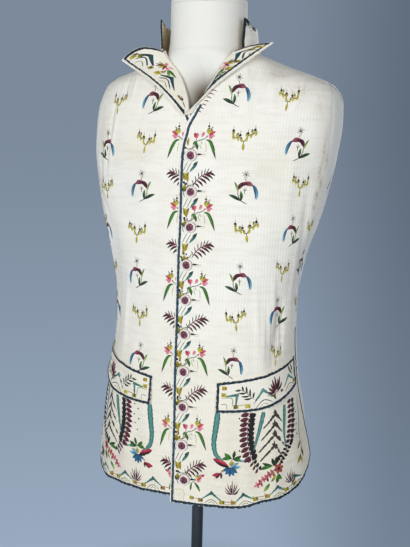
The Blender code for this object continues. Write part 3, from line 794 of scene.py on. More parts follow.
def hue(name):
    """A thread's colour as linear light, a little lighter or darker each time."""
    return linear(THREADS[name]) * DEPTH * (1.0 + SHADES.uniform(-0.10, 0.10))


def shaded(colour, tip, share):
    """Rows of colour from one thread's to another's, by each row's share of the way."""
    base = hue(colour)
    return base + (hue(tip or colour) - base) * share


class Stitches:
    """Raised silk stitches, gathered flat on a panel before they are laid on its cloth."""

    def __init__(self):
        self.places, self.lifts, self.colours, self.strands, self.faces = [], [], [], [], []
        self.count = 0

    def add(self, places, lifts, colours, strands, faces):
        self.places.append(places)
        self.lifts.append(lifts)
        self.colours.append(colours)
        self.strands.append(strands)
        self.faces += [[i + self.count for i in face] for face in faces]
        self.count += len(places)


class Needle:
    """Stitches round a spot: places are in millimetres from it, mirrored, turned and scaled."""

    def __init__(self, stitches, at, mirror=1, turn=0.0, scale=(MM, MM), grow=1.0):
        self.stitches, self.at, self.mirror, self.grow = stitches, np.asarray(at, float), mirror, grow
        self.turn = np.array(((math.cos(turn), math.sin(turn)), (-math.sin(turn), math.cos(turn))))
        self.scale = np.asarray(scale, float)

    def spot(self, place):
        """The place on the panel of a point given in this needle's millimetres."""
        local = np.asarray(place, float) * (self.mirror, 1.0) * self.grow
        return self.at + (local @ self.turn) * self.scale

    def strip(self, centre, half, colours, high, columns_across=2):
        """A raised strip of stitches along a centre line, with one colour for each of its rows."""
        centre, half = np.asarray(centre, float), np.asarray(half, float)
        ahead = np.gradient(centre, axis=0)
        ahead /= np.linalg.norm(ahead, axis=1)[:, None] + 1e-9
        across = np.linspace(-1.0, 1.0, columns_across + 1)
        spots = centre[:, None, :] + left_of(ahead)[:, None, :] * (half[:, None] * across)[..., None]
        swell = (half / half.max())[:, None] ** 0.6
        lifts = (high + SUNK) * (1.0 - np.abs(across) ** 2.4)[None, :] * swell - SUNK
        strands = np.stack(np.broadcast_arrays(across * half[:, None], run_of(centre)[:, None]), axis=-1)
        rows, steps = lifts.shape
        tints = np.broadcast_to(np.asarray(colours)[:, None, :], (rows, steps, 3))
        local = spots.reshape(-1, 2) * (self.mirror, 1.0) * self.grow
        places = self.at + (local @ self.turn) * self.scale
        self.stitches.add(places, lifts.ravel(), tints.reshape(-1, 3), strands.reshape(-1, 2),
                          grid_faces(rows, steps, False).tolist())

    def leaf(self, start, end, width, colour, tip=None, bow=0.0, full=0.75, widest=1.0, high=PADDED):
        """A pointed leaf or petal, bowed to the left of its run from start to end."""
        start, end = np.asarray(start, float), np.asarray(end, float)
        run = end - start
        middle = (start + end) / 2.0 + np.array((-run[1], run[0])) * bow
        t = np.linspace(0.0, 1.0, 8)[:, None]
        centre = (1 - t) ** 2 * start + 2 * t * (1 - t) * middle + t ** 2 * end
        half = width / 2.0 * np.maximum(np.sin(math.pi * t[:, 0] ** widest) ** full, 0.05)
        colours = shaded(colour, tip, smooth_step(t, 0.2, 0.9))
        self.strip(centre, half, colours, high, 4 if width > 3.0 else 2)

    def line(self, places, width, colour, tip=None, high=SINGLE, taper=0.25):
        """A line of stem stitch through places."""
        places = np.asarray(places, float)
        length = steps_of(places).sum()
        count = int(np.clip(length / STITCH_RUN, 4, 120))
        centre = through(places, count)
        t = np.linspace(0.0, 1.0, count)
        half = width / 2.0 * (1.0 - (1.0 - taper) * np.abs(2.0 * t - 1.0) ** 6)
        self.strip(centre, half, shaded(colour, tip, t[:, None]), high)

    def wedge(self, start, end, width_start, width_end, colour, tip=None, high=PADDED):
        """A straight bar of satin stitch that grows or narrows along its run."""
        t = np.linspace(0.0, 1.0, 6)[:, None]
        centre = np.asarray(start, float) * (1.0 - t) + np.asarray(end, float) * t
        half = (width_start + (width_end - width_start) * t[:, 0]) / 2.0
        self.strip(centre, half, shaded(colour, tip, t), high)

    def blade(self, places, width, colour, rim):
        """A slender leaf through places, with a darker rim on its left."""
        places = np.asarray(places, float)
        centre = through(places, 14)
        t = np.linspace(0.0, 1.0, 14)
        half = width / 2.0 * np.maximum(np.sin(math.pi * t ** 0.8) ** 0.8, 0.05)
        base, end = hue(colour), hue(rim)
        self.strip(centre, half, base + (end - base) * smooth_step(t, 0.55, 1.0)[:, None], PADDED, 4)
        aside = left_of(ahead_of(centre))
        self.strip(centre + aside * half[:, None] * 0.66, half * 0.36, np.tile(end, (14, 1)), OVER_3)

    def ribbon(self, places, width, colour, tip=None, foot=1.0, high=PADDED):
        """A broad band of satin stitch through places, narrowed towards its foot."""
        places = np.asarray(places, float)
        length = steps_of(places).sum()
        count = int(np.clip(length / 1.5, 6, 200))
        t = np.linspace(0.0, 1.0, count)
        half = width / 2.0 * (0.94 + 0.06 * np.sin(length * 0.9 * t)) * (1.0 - 0.3 * np.abs(2 * t - 1) ** 9)
        half = half * (1.0 - (1.0 - foot) * t ** 1.4)
        shade = 0.5 + 0.3 * np.sin(length * 0.43 * t + 1.0) + 0.2 * np.sin(length * 2.3 * t)
        self.strip(through(places, count), half, shaded(colour, tip, shade[:, None]), high, 4)

    def knot(self, place, radius, colour, high=PADDED):
        """A small round knot."""
        turn = np.linspace(0.0, 2.0 * math.pi, 8)[:-1]
        ring = np.stack((np.cos(turn), np.sin(turn)), axis=1) * radius
        local = (np.concatenate((ring, ring * 0.6, np.zeros((1, 2)))) + place) * (self.mirror, 1.0)
        lifts = np.concatenate((np.full(7, -SUNK), np.full(7, high * 0.7), (high,)))
        faces = []
        for i in range(7):
            j = (i + 1) % 7
            faces.append((i, j, 7 + j, 7 + i))
            faces.append((7 + i, 7 + j, 14))
        places = self.at + (local * self.grow @ self.turn) * self.scale
        self.stitches.add(places, lifts, np.tile(hue(colour), (15, 1)), local * 1.0, faces)


def through(places, count):
    """Evenly spread points on a smooth curve through places."""
    places = np.asarray(places, float)
    if len(places) == 2:
        t = np.linspace(0.0, 1.0, count)[:, None]
        return places[0] * (1.0 - t) + places[1] * t
    run = run_of(places)
    fine = np.linspace(0.0, run[-1], max(count * 3, 24))
    i = np.clip(np.searchsorted(run, fine) - 1, 0, len(places) - 2)
    t = ((fine - run[i]) / (run[i + 1] - run[i]))[:, None]
    before, after = places[np.maximum(i - 1, 0)], places[np.minimum(i + 2, len(places) - 1)]
    a, b = places[i], places[i + 1]
    curve = 0.5 * (2 * a + (b - before) * t + (2 * before - 5 * a + 4 * b - after) * t ** 2
                   + (3 * a - before - 3 * b + after) * t ** 3)
    steps = run_of(curve)
    even = np.linspace(0.0, steps[-1], count)
    return np.stack([np.interp(even, steps, curve[:, k]) for k in range(2)], axis=1)


def sewn_on(name, stitches, cloth):
    """Lays gathered stitches on a panel's cloth as one mesh."""
    flat = np.concatenate(stitches.places)
    lifts = np.concatenate(stitches.lifts)
    points = cloth(flat[:, 0], flat[:, 1], lifts)
    raised = cloth(flat[:, 0], flat[:, 1], lifts + 0.001) - points
    faces = []
    for face in stitches.faces:
        a, b, c = points[face[0]], points[face[1]], points[face[2]]
        outward = np.dot(np.cross(b - a, c - b), raised[face[0]])
        faces.append(face if outward > 0.0 else face[::-1])
    mesh = bpy.data.meshes.new(name)
    mesh.from_pydata(points.tolist(), [], faces)
    colours = np.concatenate(stitches.colours)
    mark(mesh, "thread", np.column_stack((colours, np.ones(len(colours)))), "FLOAT_COLOR", "color")
    unroll(mesh, "strands", np.concatenate(stitches.strands))
    mesh.shade_smooth()
    return finished(new_object(name, mesh, MATERIAL["thread"]))


# Motifs, drawn for the wearer's left side; the needle mirrors them for the right.

def star(needle, centre, radius):
    """A small star of eight single stitches."""
    for i in range(8):
        angle = math.pi / 8.0 + i * math.pi / 4.0
        reach = radius * (1.0 if i % 2 else 0.82)
        ray = (centre[0] + reach * math.cos(angle), centre[1] + reach * math.sin(angle))
        needle.line((centre, ray), 1.2, "plum", "grey", taper=0.55)
    needle.knot(centre, 1.6, "plum")


def bouquet(needle):
    """A drooping flower under a star: maroon hood, blue bell to one side, leaves to the other."""
    star(needle, (-1.0, 13.0), 7.2)
    needle.line(((-1.0, 8.5), (-0.6, 1.0)), 1.4, "plum", "maroon")
    needle.leaf((-12.5, -13.0), (-0.5, 0.6), 8.0, "maroon", "maroon", bow=0.24)
    needle.leaf((-6.0, -1.6), (12.5, -5.0), 8.4, "maroon", "rose_brown", bow=0.20, high=OVER_1)
    needle.leaf((-10.0, -7.0), (5.0, -2.2), 4.4, "plum", "maroon", bow=0.20, high=OVER_3)
    needle.leaf((-4.5, 0.4), (9.0, 0.6), 1.9, "pale_pink", "rose_brown", bow=0.2, high=OVER_4)
    needle.leaf((10.0, -2.0), (18.8, -28.0), 6.8, "blue", "sky", bow=0.24, widest=0.85)
    needle.leaf((9.6, -3.5), (16.6, -27.0), 3.4, "petrol", "blue", bow=0.22, high=OVER_3)
    needle.line(((-1.0, -7.5), (-1.2, -19.0)), 1.5, "grey", "plum")
    needle.line(((-4.6, -10.0), (-1.0, -13.8), (2.6, -9.8)), 1.2, "grey", "rose_brown")
    needle.line(((-11.5, -11.5), (-11.8, -20.0), (-6.5, -29.5), (4.5, -35.0)), 1.8, "dark_green", "plum")
    needle.leaf((-6.6, -30.5), (-27.5, -21.0), 6.2, "dark_green", "leaf_green", bow=-0.12)
    needle.leaf((-6.5, -30.0), (-7.8, -13.5), 6.0, "dark_green", "green", bow=-0.12)
    needle.leaf((-12.0, -17.0), (-19.5, 1.0), 4.4, "pale_green", "green", bow=-0.14)


SPRIG_ARCH = ((-18.0, 10.0), (-14.5, -1.0), (-6.5, 0.0), (0.0, -6.5), (7.0, 3.0), (14.0, 5.0), (17.0, 15.0))

# Yellow buds along the arch, each with the way it leans
SPRIG_BUDS = ((-18.0, 4.0, 0.5), (-15.0, -2.0, -0.5), (-11.5, 1.0, 0.5), (-7.5, -4.0, -0.5),
              (-2.5, -5.5, -0.4), (3.5, -5.0, 0.5), (5.5, 1.5, -0.4), (10.0, 0.5, 0.5), (13.5, 7.0, -0.5),
              (17.5, 4.0, 0.3))


def sprig(needle):
    """A yellow-green spray in a shallow W with dark buds and a drop."""
    needle.line(SPRIG_ARCH, 2.0, "olive", "olive", taper=0.5)
    for i, (x, y, lean) in enumerate(SPRIG_BUDS):
        end = (x + 4.6 * lean, y + 6.0)
        needle.leaf((x, y - 2.4), end, 4.6, "yellow", "gold" if i % 2 else "olive", bow=0.12)
    for x, y in ((-17.5, 10.0), (-6.4, 3.0), (5.4, 5.8), (15.8, 11.4)):
        needle.knot((x, y), 2.5, "plum")
        needle.line(((x, y + 1.0), (x + 0.4, y + 8.0)), 1.0, "brown", "gold")
        needle.line(((x - 2.6, y - 2.0), (x, y), (x + 2.8, y - 1.6)), 1.1, "dark_green", "olive")
    needle.line(((0.0, -6.0), (0.2, -12.0)), 1.8, "olive")
    needle.leaf((0.0, -8.5), (0.8, -21.0), 5.2, "yellow", "gold", widest=0.8)
    needle.line(((0.0, -10.0), (0.4, -17.0)), 1.0, "olive", high=OVER_3)


def lily(needle, grow=1.0):
    """A pink flower seen from the side: petals outward, a yellow throat and a dark knot above."""
    def leaf(start, end, width, colour, tip, **more):
        needle.leaf(np.multiply(start, grow), np.multiply(end, grow), width * grow, colour, tip, **more)

    leaf((0.0, -2.0), (6.5, -6.0), 4.4, "pale_pink", "pink")
    leaf((0.0, -1.0), (10.5, -1.5), 5.6, "pink", "pale_pink", bow=-0.1)
    leaf((0.0, 0.0), (11.0, 4.5), 6.0, "red", "pink", bow=0.12, high=OVER_1)
    leaf((-1.0, -1.0), (-3.0, -4.5), 2.6, "maroon", "pink")
    leaf((-3.0, 7.0), (2.4, 10.0), 3.0, "olive", "dark_green", bow=0.2)
    leaf((0.5, 0.6), (-2.2, 9.6), 6.0, "yellow", "gold", high=OVER_2)
    leaf((2.0, 1.4), (4.2, 9.2), 5.6, "yellow", "olive", high=OVER_2)
    leaf((1.0, 0.6), (1.4, 7.6), 3.6, "yellow", "gold", high=OVER_4)
    leaf((2.6, 8.0), (6.2, 13.0), 1.7, "olive", "plum")
    needle.knot((-0.7 * grow, 12.6 * grow), 2.0 * grow, "plum")
    needle.line(((-0.6 * grow, 14.5 * grow), (-0.2 * grow, 19.0 * grow)), 0.9, "plum", "grey")


def spray(needle):
    """The front border's flower spray, up and out from a button at the origin."""
    stem = ((-1.0, 9.0), (3.0, 16.0), (9.0, 22.0), (17.5, 24.5), (24.0, 30.0))
    needle.line(stem, 1.5, "plum", "dark_green")
    needle.line(((5.0, 20.0), (6.0, 24.0), (5.4, 27.0)), 1.3, "dark_green")
    needle.leaf((2.4, 34.0), (7.4, 25.6), 7.0, "red", "pink", bow=-0.12)
    needle.leaf((5.6, 34.0), (8.6, 28.0), 3.6, "pink", "pale_pink", bow=0.12, high=OVER_2)
    needle.leaf((3.0, 34.5), (1.0, 31.0), 2.4, "maroon", "ochre")
    needle.leaf((13.8, 27.0), (18.2, 34.6), 5.4, "pale_pink", "pink", bow=0.12)
    needle.leaf((14.4, 29.0), (15.4, 35.6), 2.8, "pink", "pink", bow=-0.12, high=OVER_2)
    lily(Needle(needle.stitches, needle.spot((24.4, 31.0)), needle.mirror, 0.0, needle.scale, needle.grow))
    long_leaf = ((20.0, 23.2), (27.0, 21.4), (32.0, 12.5), (35.4, 3.0), (38.6, -6.0))
    needle.blade(long_leaf, 5.6, "green", "dark_green")
    needle.leaf((3.4, 22.0), (9.0, 7.6), 5.6, "green", "dark_green", bow=0.10, widest=0.8)
    needle.leaf((5.6, 20.0), (10.6, 12.6), 3.2, "leaf_green", "green", bow=-0.10)
    needle.leaf((3.4, 21.6), (0.4, 16.0), 2.8, "dark_green", "leaf_green", bow=0.10)
    needle.line(((14.0, 22.6), (14.6, 19.0), (17.0, 16.0)), 1.3, "pale_green", "green")
    needle.line(((20.5, 20.0), (22.4, 12.0), (22.4, 4.5)), 1.1, "pale_green", "gold")
    needle.line(((12.0, 21.0), (12.8, 13.0), (15.6, 9.5)), 1.0, "pale_green", "green")


def frond(needle):
    """A maroon feather that grows out beside a button."""
    stem = ((2.5, -49.5), (8.0, -41.0), (15.0, -33.5), (23.0, -28.5), (30.0, -26.0))
    needle.line(stem, 1.8, "plum", "maroon")
    for start, end, width in (((25.0, -27.0), (39.5, -31.5), 4.6), ((21.0, -29.0), (36.5, -36.5), 4.4),
                              ((17.5, -31.5), (32.0, -40.5), 4.2), ((13.5, -35.0), (26.5, -44.5), 4.2),
                              ((10.0, -38.5), (20.5, -48.0), 3.8), ((6.5, -42.5), (14.5, -50.5), 3.4)):
        needle.leaf(start, end, width, "maroon", "plum", bow=0.24, widest=0.8)
        middle = (0.45 * start[0] + 0.55 * end[0], 0.45 * start[1] + 0.55 * end[1] + 1.9)
        needle.leaf(start, middle, 1.5, "rose_brown", "rose_brown", bow=0.16, high=OVER_3)
    for start, end in (((27.0, -27.0), (35.0, -22.0)), ((24.0, -28.0), (29.5, -18.5)),
                       ((20.5, -30.0), (23.5, -19.0)), ((16.5, -32.5), (18.0, -21.0)),
                       ((12.5, -36.0), (12.0, -25.0)), ((8.5, -40.5), (7.0, -30.5)),
                       ((5.0, -45.0), (2.0, -37.0))):
        needle.leaf(start, end, 1.9, "maroon", "plum", bow=-0.14)


def vine(needle):
    """The leaf, cup and berries that join one button to the next along the front edge."""
    needle.leaf((10.6, -8.5), (-2.4, -26.0), 5.0, "deep_teal", "teal", bow=0.10, widest=0.75)
    needle.leaf((11.6, -9.4), (2.6, -15.6), 2.8, "deep_teal", "navy", bow=-0.1, high=OVER_1)
    needle.line(((10.0, -10.0), (2.6, -18.0), (-1.6, -25.0)), 1.2, "navy", "petrol", high=OVER_3)
    needle.line(((-5.5, -9.5), (-9.0, -17.0), (-13.0, -25.0)), 1.3, "slate", "deep_teal")
    needle.line(((1.0, -10.5), (-4.0, -19.0), (-7.5, -27.0)), 1.3, "dark_green", "green")
    for end, colour, tip in (((-13.6, -25.0), "olive", "gold"), ((-2.6, -25.0), "gold", "olive"),
                             ((-8.2, -25.5), "gold", "yellow")):
        needle.leaf((-8.5, -38.0), end, 6.6, colour, tip, bow=-0.14 if end[0] < -9.0 else 0.12, widest=0.6)
    needle.knot((-10.4, -41.6), 2.4, "plum")
    needle.knot((-6.0, -43.0), 1.8, "slate")
    needle.leaf((-8.2, -56.0), (-8.8, -44.0), 7.0, "olive", "gold", bow=0.10)
    needle.leaf((-7.0, -54.0), (-3.2, -46.0), 4.4, "gold", "olive", bow=-0.10)
    needle.leaf((-11.0, -56.0), (-13.6, -48.0), 3.6, "dark_green", "olive", bow=0.10)


def fork(needle):
    """The dark sprig between a button and the spray above it."""
    needle.line(((-10.5, 11.0), (-4.0, 9.5), (3.0, 12.0), (6.5, 18.5)), 1.5, "plum", "dark_green")
    needle.knot((-10.5, 11.5), 2.0, "plum")
    needle.leaf((-7.0, 14.0), (-6.4, 27.0), 4.4, "ochre", "gold", bow=0.12)
    needle.line(((-11.0, 6.0), (-13.0, -2.0), (-11.0, -9.0)), 1.6, "slate", "petrol")


def buttonhole(needle):
    """A worked buttonhole that shows beyond its button, with a dark thorn."""
    needle.line(((10.0, -0.8), (22.5, -1.2)), 1.4, "cream", "cream", taper=0.9)
    needle.leaf((8.6, 1.4), (18.6, 1.6), 3.4, "plum", "plum", widest=0.5)
    needle.line(((16.0, 1.6), (24.0, 1.2)), 0.9, "olive", "pale_green")


def fan(needle, places=(-58.0, -36.0, -14.0, 8.0, 30.0, 52.0), tall=11.0):
    """A small maroon tuft of leaves that fans up from the origin."""
    for i, degrees in enumerate(places):
        angle = math.radians(90.0 - degrees)
        reach = tall * (1.0 - abs(degrees) / 200.0)
        end = (reach * math.cos(angle), reach * math.sin(angle))
        needle.leaf((0.0, 0.0), end, 2.6, "plum", "rose_brown" if i % 2 else "maroon",
                    bow=0.16 if degrees < 0 else -0.16)


def square(needle, at, size, colour="gold", shade="olive"):
    """A small block of satin stitch with a darker side."""
    x, y = at
    needle.wedge((x - size / 2, y), (x + size / 2, y), size * 1.05, size * 0.90, colour, colour)
    needle.wedge((x + size * 0.18, y), (x + size / 2, y), size * 0.8, size * 0.8, shade, shade, high=OVER_3)


def chevron(needle, apex, left, right, colour, tip=None, thick=1.0):
    """A roof of two bars: a thin one to the left and a heavy one to the right."""
    needle.wedge(left, (apex[0] + 1.0, apex[1] - 0.6), 1.8 * thick, 5.2 * thick, tip or colour, colour)
    needle.wedge((apex[0] - 1.2, apex[1] + 0.9), right, 6.8 * thick, 2.2 * thick, colour, tip or colour)


# Ground motifs on each front.
# word, girth, height, facing, share of full breadth
GROUND = {
    LEFT: (
        ("bouquet", 0.0590, 0.9220, 1, 0.92), ("sprig", 0.1346, 0.9160, -1, 0.80),
        ("sprig", 0.0765, 0.8560, 1, 1.00), ("bouquet", 0.1590, 0.8440, -1, 0.90),
        ("bouquet", 0.0860, 0.7770, 1, 1.00), ("sprig", 0.1700, 0.7875, -1, 0.76),
        ("sprig", 0.0903, 0.7160, 1, 1.00), ("bouquet", 0.1620, 0.7110, -1, 0.70),
        ("sprig", 0.1996, 0.7187, 1, 0.42), ("bouquet", 0.0844, 0.6350, 1, 0.94),
        ("sprig", 0.1533, 0.6515, -1, 0.64), ("bouquet", 0.2010, 0.6558, 1, 0.60),
        ("sprig", 0.0794, 0.5750, 1, 0.86), ("bouquet", 0.1490, 0.5800, -1, 0.84),
        ("sprig", 0.2035, 0.5930, 1, 0.60), ("bouquet", 0.0785, 0.5010, 1, 0.88),
        ("sprig", 0.1503, 0.5170, -1, 0.58),
    ),
    RIGHT: (
        ("bouquet", 0.0780, 0.9100, 1, 0.88), ("sprig", 0.1415, 0.9075, -1, 0.72),
        ("sprig", 0.0824, 0.8475, 1, 0.90), ("bouquet", 0.1610, 0.8350, -1, 0.90),
        ("bouquet", 0.0860, 0.7730, 1, 1.00), ("sprig", 0.1620, 0.7710, -1, 0.80),
        ("sprig", 0.0932, 0.7040, 1, 0.95), ("bouquet", 0.1730, 0.6980, -1, 0.60),
        ("sprig", 0.2000, 0.7100, 1, 1.00), ("bouquet", 0.0932, 0.6320, 1, 0.88),
        ("sprig", 0.1749, 0.6320, -1, 1.00), ("bouquet", 0.1990, 0.6450, 1, 1.00),
        ("sprig", 0.0863, 0.5680, 1, 0.92), ("bouquet", 0.1661, 0.5670, -1, 1.00),
        ("sprig", 0.2035, 0.5850, 1, 1.00), ("bouquet", 0.0834, 0.4950, 1, 0.95),
        ("sprig", 0.1800, 0.4980, -1, 1.00),
    ),
}
BOUQUET_APEX = 11.0 * MM  # how far the flower's hood lies above the middle of its motif
BOUQUET_SIZE, SPRIG_SIZE = 0.94, 0.98
OUTERMOST_GIRTH, OUTERMOST_SIZE = 0.185, 0.86  # motifs near the side seam are a little smaller
UNDER_SHIFT = 1.5 * MM  # how far out from the centre line the lower front's border is moved
MOTIFS = {"bouquet": bouquet, "sprig": sprig}

# The skirt's pattern below each pocket flap, by girth and height on a front.
BAND_FRONT = ((0.0580, 0.4250), (0.0568, 0.4120), (0.0548, 0.3950), (0.0528, 0.3770), (0.0560, 0.3600),
              (0.0680, 0.3480))
BAND_MIDDLE = ((0.1305, 0.4270), (0.1272, 0.4100), (0.1225, 0.3900), (0.1155, 0.3660))
BAND_SIDE = ((0.1690, 0.4340), (0.1682, 0.4100), (0.1682, 0.3880), (0.1720, 0.3670))
GARLAND = ((0.1075, 0.4225), (0.1060, 0.4050), (0.1055, 0.3880), (0.1075, 0.3720), (0.1120, 0.3560))
GARLAND_END = ((0.1130, 0.3540), (0.1175, 0.3460), (0.1240, 0.3380))
SIDE_GARLAND = ((0.1850, 0.4380), (0.1845, 0.4050), (0.1800, 0.3760))
SIDE_GARLAND_END = ((0.1790, 0.3740), (0.1700, 0.3600), (0.1600, 0.3490))
SIDE_STEM = ((0.2050, 0.4420), (0.2065, 0.4120), (0.2045, 0.3860), (0.2085, 0.3620), (0.2060, 0.3500))
# Roofs by girth and height of the apex, with the ends of both arms from it in millimetres
ROOFS = ((0.1500, 0.4245, (-19.0, -24.0), (14.5, -16.0)), (0.1500, 0.4085, (-22.0, -26.5), (14.5, -16.0)),
         (0.1498, 0.3925, (-25.5, -29.0), (19.0, -20.5)), (0.1500, 0.3760, (-23.5, -26.0), (12.5, -18.5)))
FRONT_POSY, SIDE_POSY = (0.0800, 0.3420), (0.1500, 0.3345)
TUFTS = ((0.0830, 0.2975), (0.1820, 0.3110))
HEM_ROOFS = (0.0490, 0.1045, 0.1580, 0.1990)  # girths of the roofs along the hem
HEM_ROOF_HEIGHT = 23.5  # of the first, in millimetres
EDGE_INSET = 3.3 * MM  # from the cloth's edge to the stitched edging down the front
HEM_INSET = 2.2 * MM
EDGE_OPENS = 2.4 * MM  # how much further in it lies towards the V
EDGING = 4.2 * MM  # width of the stitched edging
HEM_EDGING = 4.8 * MM
SIDE_EDGING_TOP = 0.552
FRINGE_START = 7.0 * MM  # from the neckline to the comb of stitches below the V
CORNER_BOX = -0.0030  # girth of the dotted box in the front corner

# The plume on a pocket flap: ends of its strokes and how far each bows
PLUME = ((-14.0, 7.0, 0.16), (-10.5, 13.0, 0.12), (-5.0, 17.0, 0.08), (0.0, 23.0, 0.06), (5.5, 26.0, -0.05),
         (10.5, 20.0, -0.08), (15.0, 22.0, -0.12), (16.0, 11.0, -0.18))

# Small dark knots scattered on the skirt, in millimetres of girth and height
DOTS = ((193.0, 425.0), (196.0, 418.0), (193.5, 407.0), (197.0, 399.0), (193.0, 391.0), (198.0, 384.0))
DOTS_LEFT = ((92.0, 417.0), (93.5, 367.0))
DOTS_RIGHT = ((88.0, 421.0), (80.5, 414.0), (88.5, 404.0), (79.0, 398.0), (87.0, 390.0), (82.0, 380.0))


def ground(stitches, side):
    """The scattered flowers and sprays of one front."""
    for word, girth, height, facing, broad in GROUND[side]:
        rise, grow = (BOUQUET_APEX, BOUQUET_SIZE) if word == "bouquet" else (0.0, SPRIG_SIZE)
        if girth > OUTERMOST_GIRTH:
            grow *= OUTERMOST_SIZE
        turn = SHADES.uniform(-0.08, 0.08)
        MOTIFS[word](Needle(stitches, (girth, height + rise), facing, turn, (MM * broad, MM), grow))


def border(stitches, side):
    """The flowers down a front's edge, turn about: a spray above one button, a frond below it."""
    last = len(BUTTONS) - 1
    for i, (height, along) in enumerate(BUTTONS):
        girth = along if side == LEFT else UNDER_SHIFT - along
        needle = Needle(stitches, (girth, height), 1, SHADES.uniform(-0.03, 0.03))
        if i % 2 == 0:
            spray(needle)
            frond(needle)
        if side == LEFT:
            if i < last:
                vine(needle)
            fork(needle)
            buttonhole(needle)
    foot = Needle(stitches, (girth, height), 1, 0.0)
    last_flower(foot)


def last_flower(needle):
    """A small flower beside the lowest button, with two thin leaves."""
    needle.line(((9.0, -6.0), (15.0, -1.0), (19.0, 4.0)), 1.3, "dark_green", "green")
    lily(Needle(needle.stitches, needle.spot((20.0, 3.0)), needle.mirror, -0.2, needle.scale, 0.72))
    needle.leaf((15.0, -2.0), (25.0, -18.0), 4.6, "leaf_green", "green", bow=0.18)
    needle.leaf((12.0, -4.0), (10.0, -17.0), 3.8, "green", "leaf_green", bow=-0.12)
    needle.leaf((25.0, 6.0), (33.0, 11.0), 5.0, "pink", "red", bow=0.14)


def front_posy(needle):
    """Green leaves, a red tulip, a blue bell and a red bud at the foot of the first band."""
    needle.leaf((2.0, 12.0), (-10.0, 21.0), 7.6, "leaf_green", "green", bow=0.15)
    needle.leaf((0.0, 12.0), (-14.0, 11.0), 6.4, "green", "leaf_green", bow=-0.14)
    needle.leaf((3.0, 13.0), (6.0, 25.0), 6.0, "dark_green", "leaf_green", bow=-0.1)
    needle.leaf((2.0, 12.0), (17.0, 9.0), 7.4, "leaf_green", "green", bow=0.14)
    needle.leaf((3.0, 11.0), (17.0, 18.0), 6.0, "dark_green", "leaf_green", bow=-0.1)
    needle.leaf((12.0, 9.0), (22.0, 11.0), 4.0, "teal", "sky", bow=-0.1)
    needle.leaf((-2.0, -2.0), (-28.0, 9.0), 10.5, "plum", "maroon", bow=-0.08)
    needle.leaf((-4.0, 1.0), (-29.0, 10.5), 7.4, "red", "red", bow=-0.12, high=OVER_3)
    needle.leaf((-6.0, 3.6), (-23.0, 10.4), 2.6, "pink", "pale_pink", bow=-0.05, high=OVER_5)
    needle.leaf((-2.0, 1.0), (1.5, 10.0), 4.6, "gold", "yellow")
    needle.leaf((1.0, 1.0), (4.5, 8.5), 3.4, "ochre", "gold")
    needle.line(((2.0, 12.0), (1.0, 2.0), (-2.0, -3.0)), 1.2, "dark_green")
    for i, end in enumerate(((-13.0, -7.0), (-8.5, -13.0), (-2.0, -16.5), (5.0, -15.0), (10.5, -9.5))):
        needle.leaf((0.0, -1.0), end, 6.0, "blue" if i % 2 else "petrol", "blue", widest=1.2)
    needle.leaf((0.0, -1.0), (16.0, 1.0), 6.4, "blue", "sky", bow=-0.12)
    needle.leaf((1.0, 0.5), (13.0, 6.0), 4.4, "sky", "teal", bow=0.1, high=OVER_3)
    needle.line(((-3.0, -2.0), (-12.0, -6.0), (-17.0, -12.0)), 1.2, "dark_green")
    needle.leaf((-15.5, -11.0), (-30.0, -15.5), 7.0, "red", "red", bow=0.14)
    needle.leaf((-15.0, -11.0), (-24.0, -20.5), 5.6, "plum", "maroon", bow=-0.1)
    needle.leaf((-14.5, -10.0), (-15.0, -20.0), 4.0, "maroon", "dark_green")
    needle.leaf((-14.0, -9.5), (-12.0, -5.5), 3.6, "gold", "ochre")


# Small flowers that trail from the side posy, each with its reach and its two colours
TRAIL = ((-3.0, -3.0, 8.0, "rose_brown", "ochre"), (-8.5, -5.0, 6.6, "pink", "rose_brown"),
         (-12.5, -10.5, 7.4, "maroon", "pink"), (-18.0, -12.0, 5.8, "pale_pink", "pink"),
         (-22.0, -18.0, 7.0, "rose_brown", "red"), (-27.5, -21.0, 6.0, "pink", "pale_pink"))


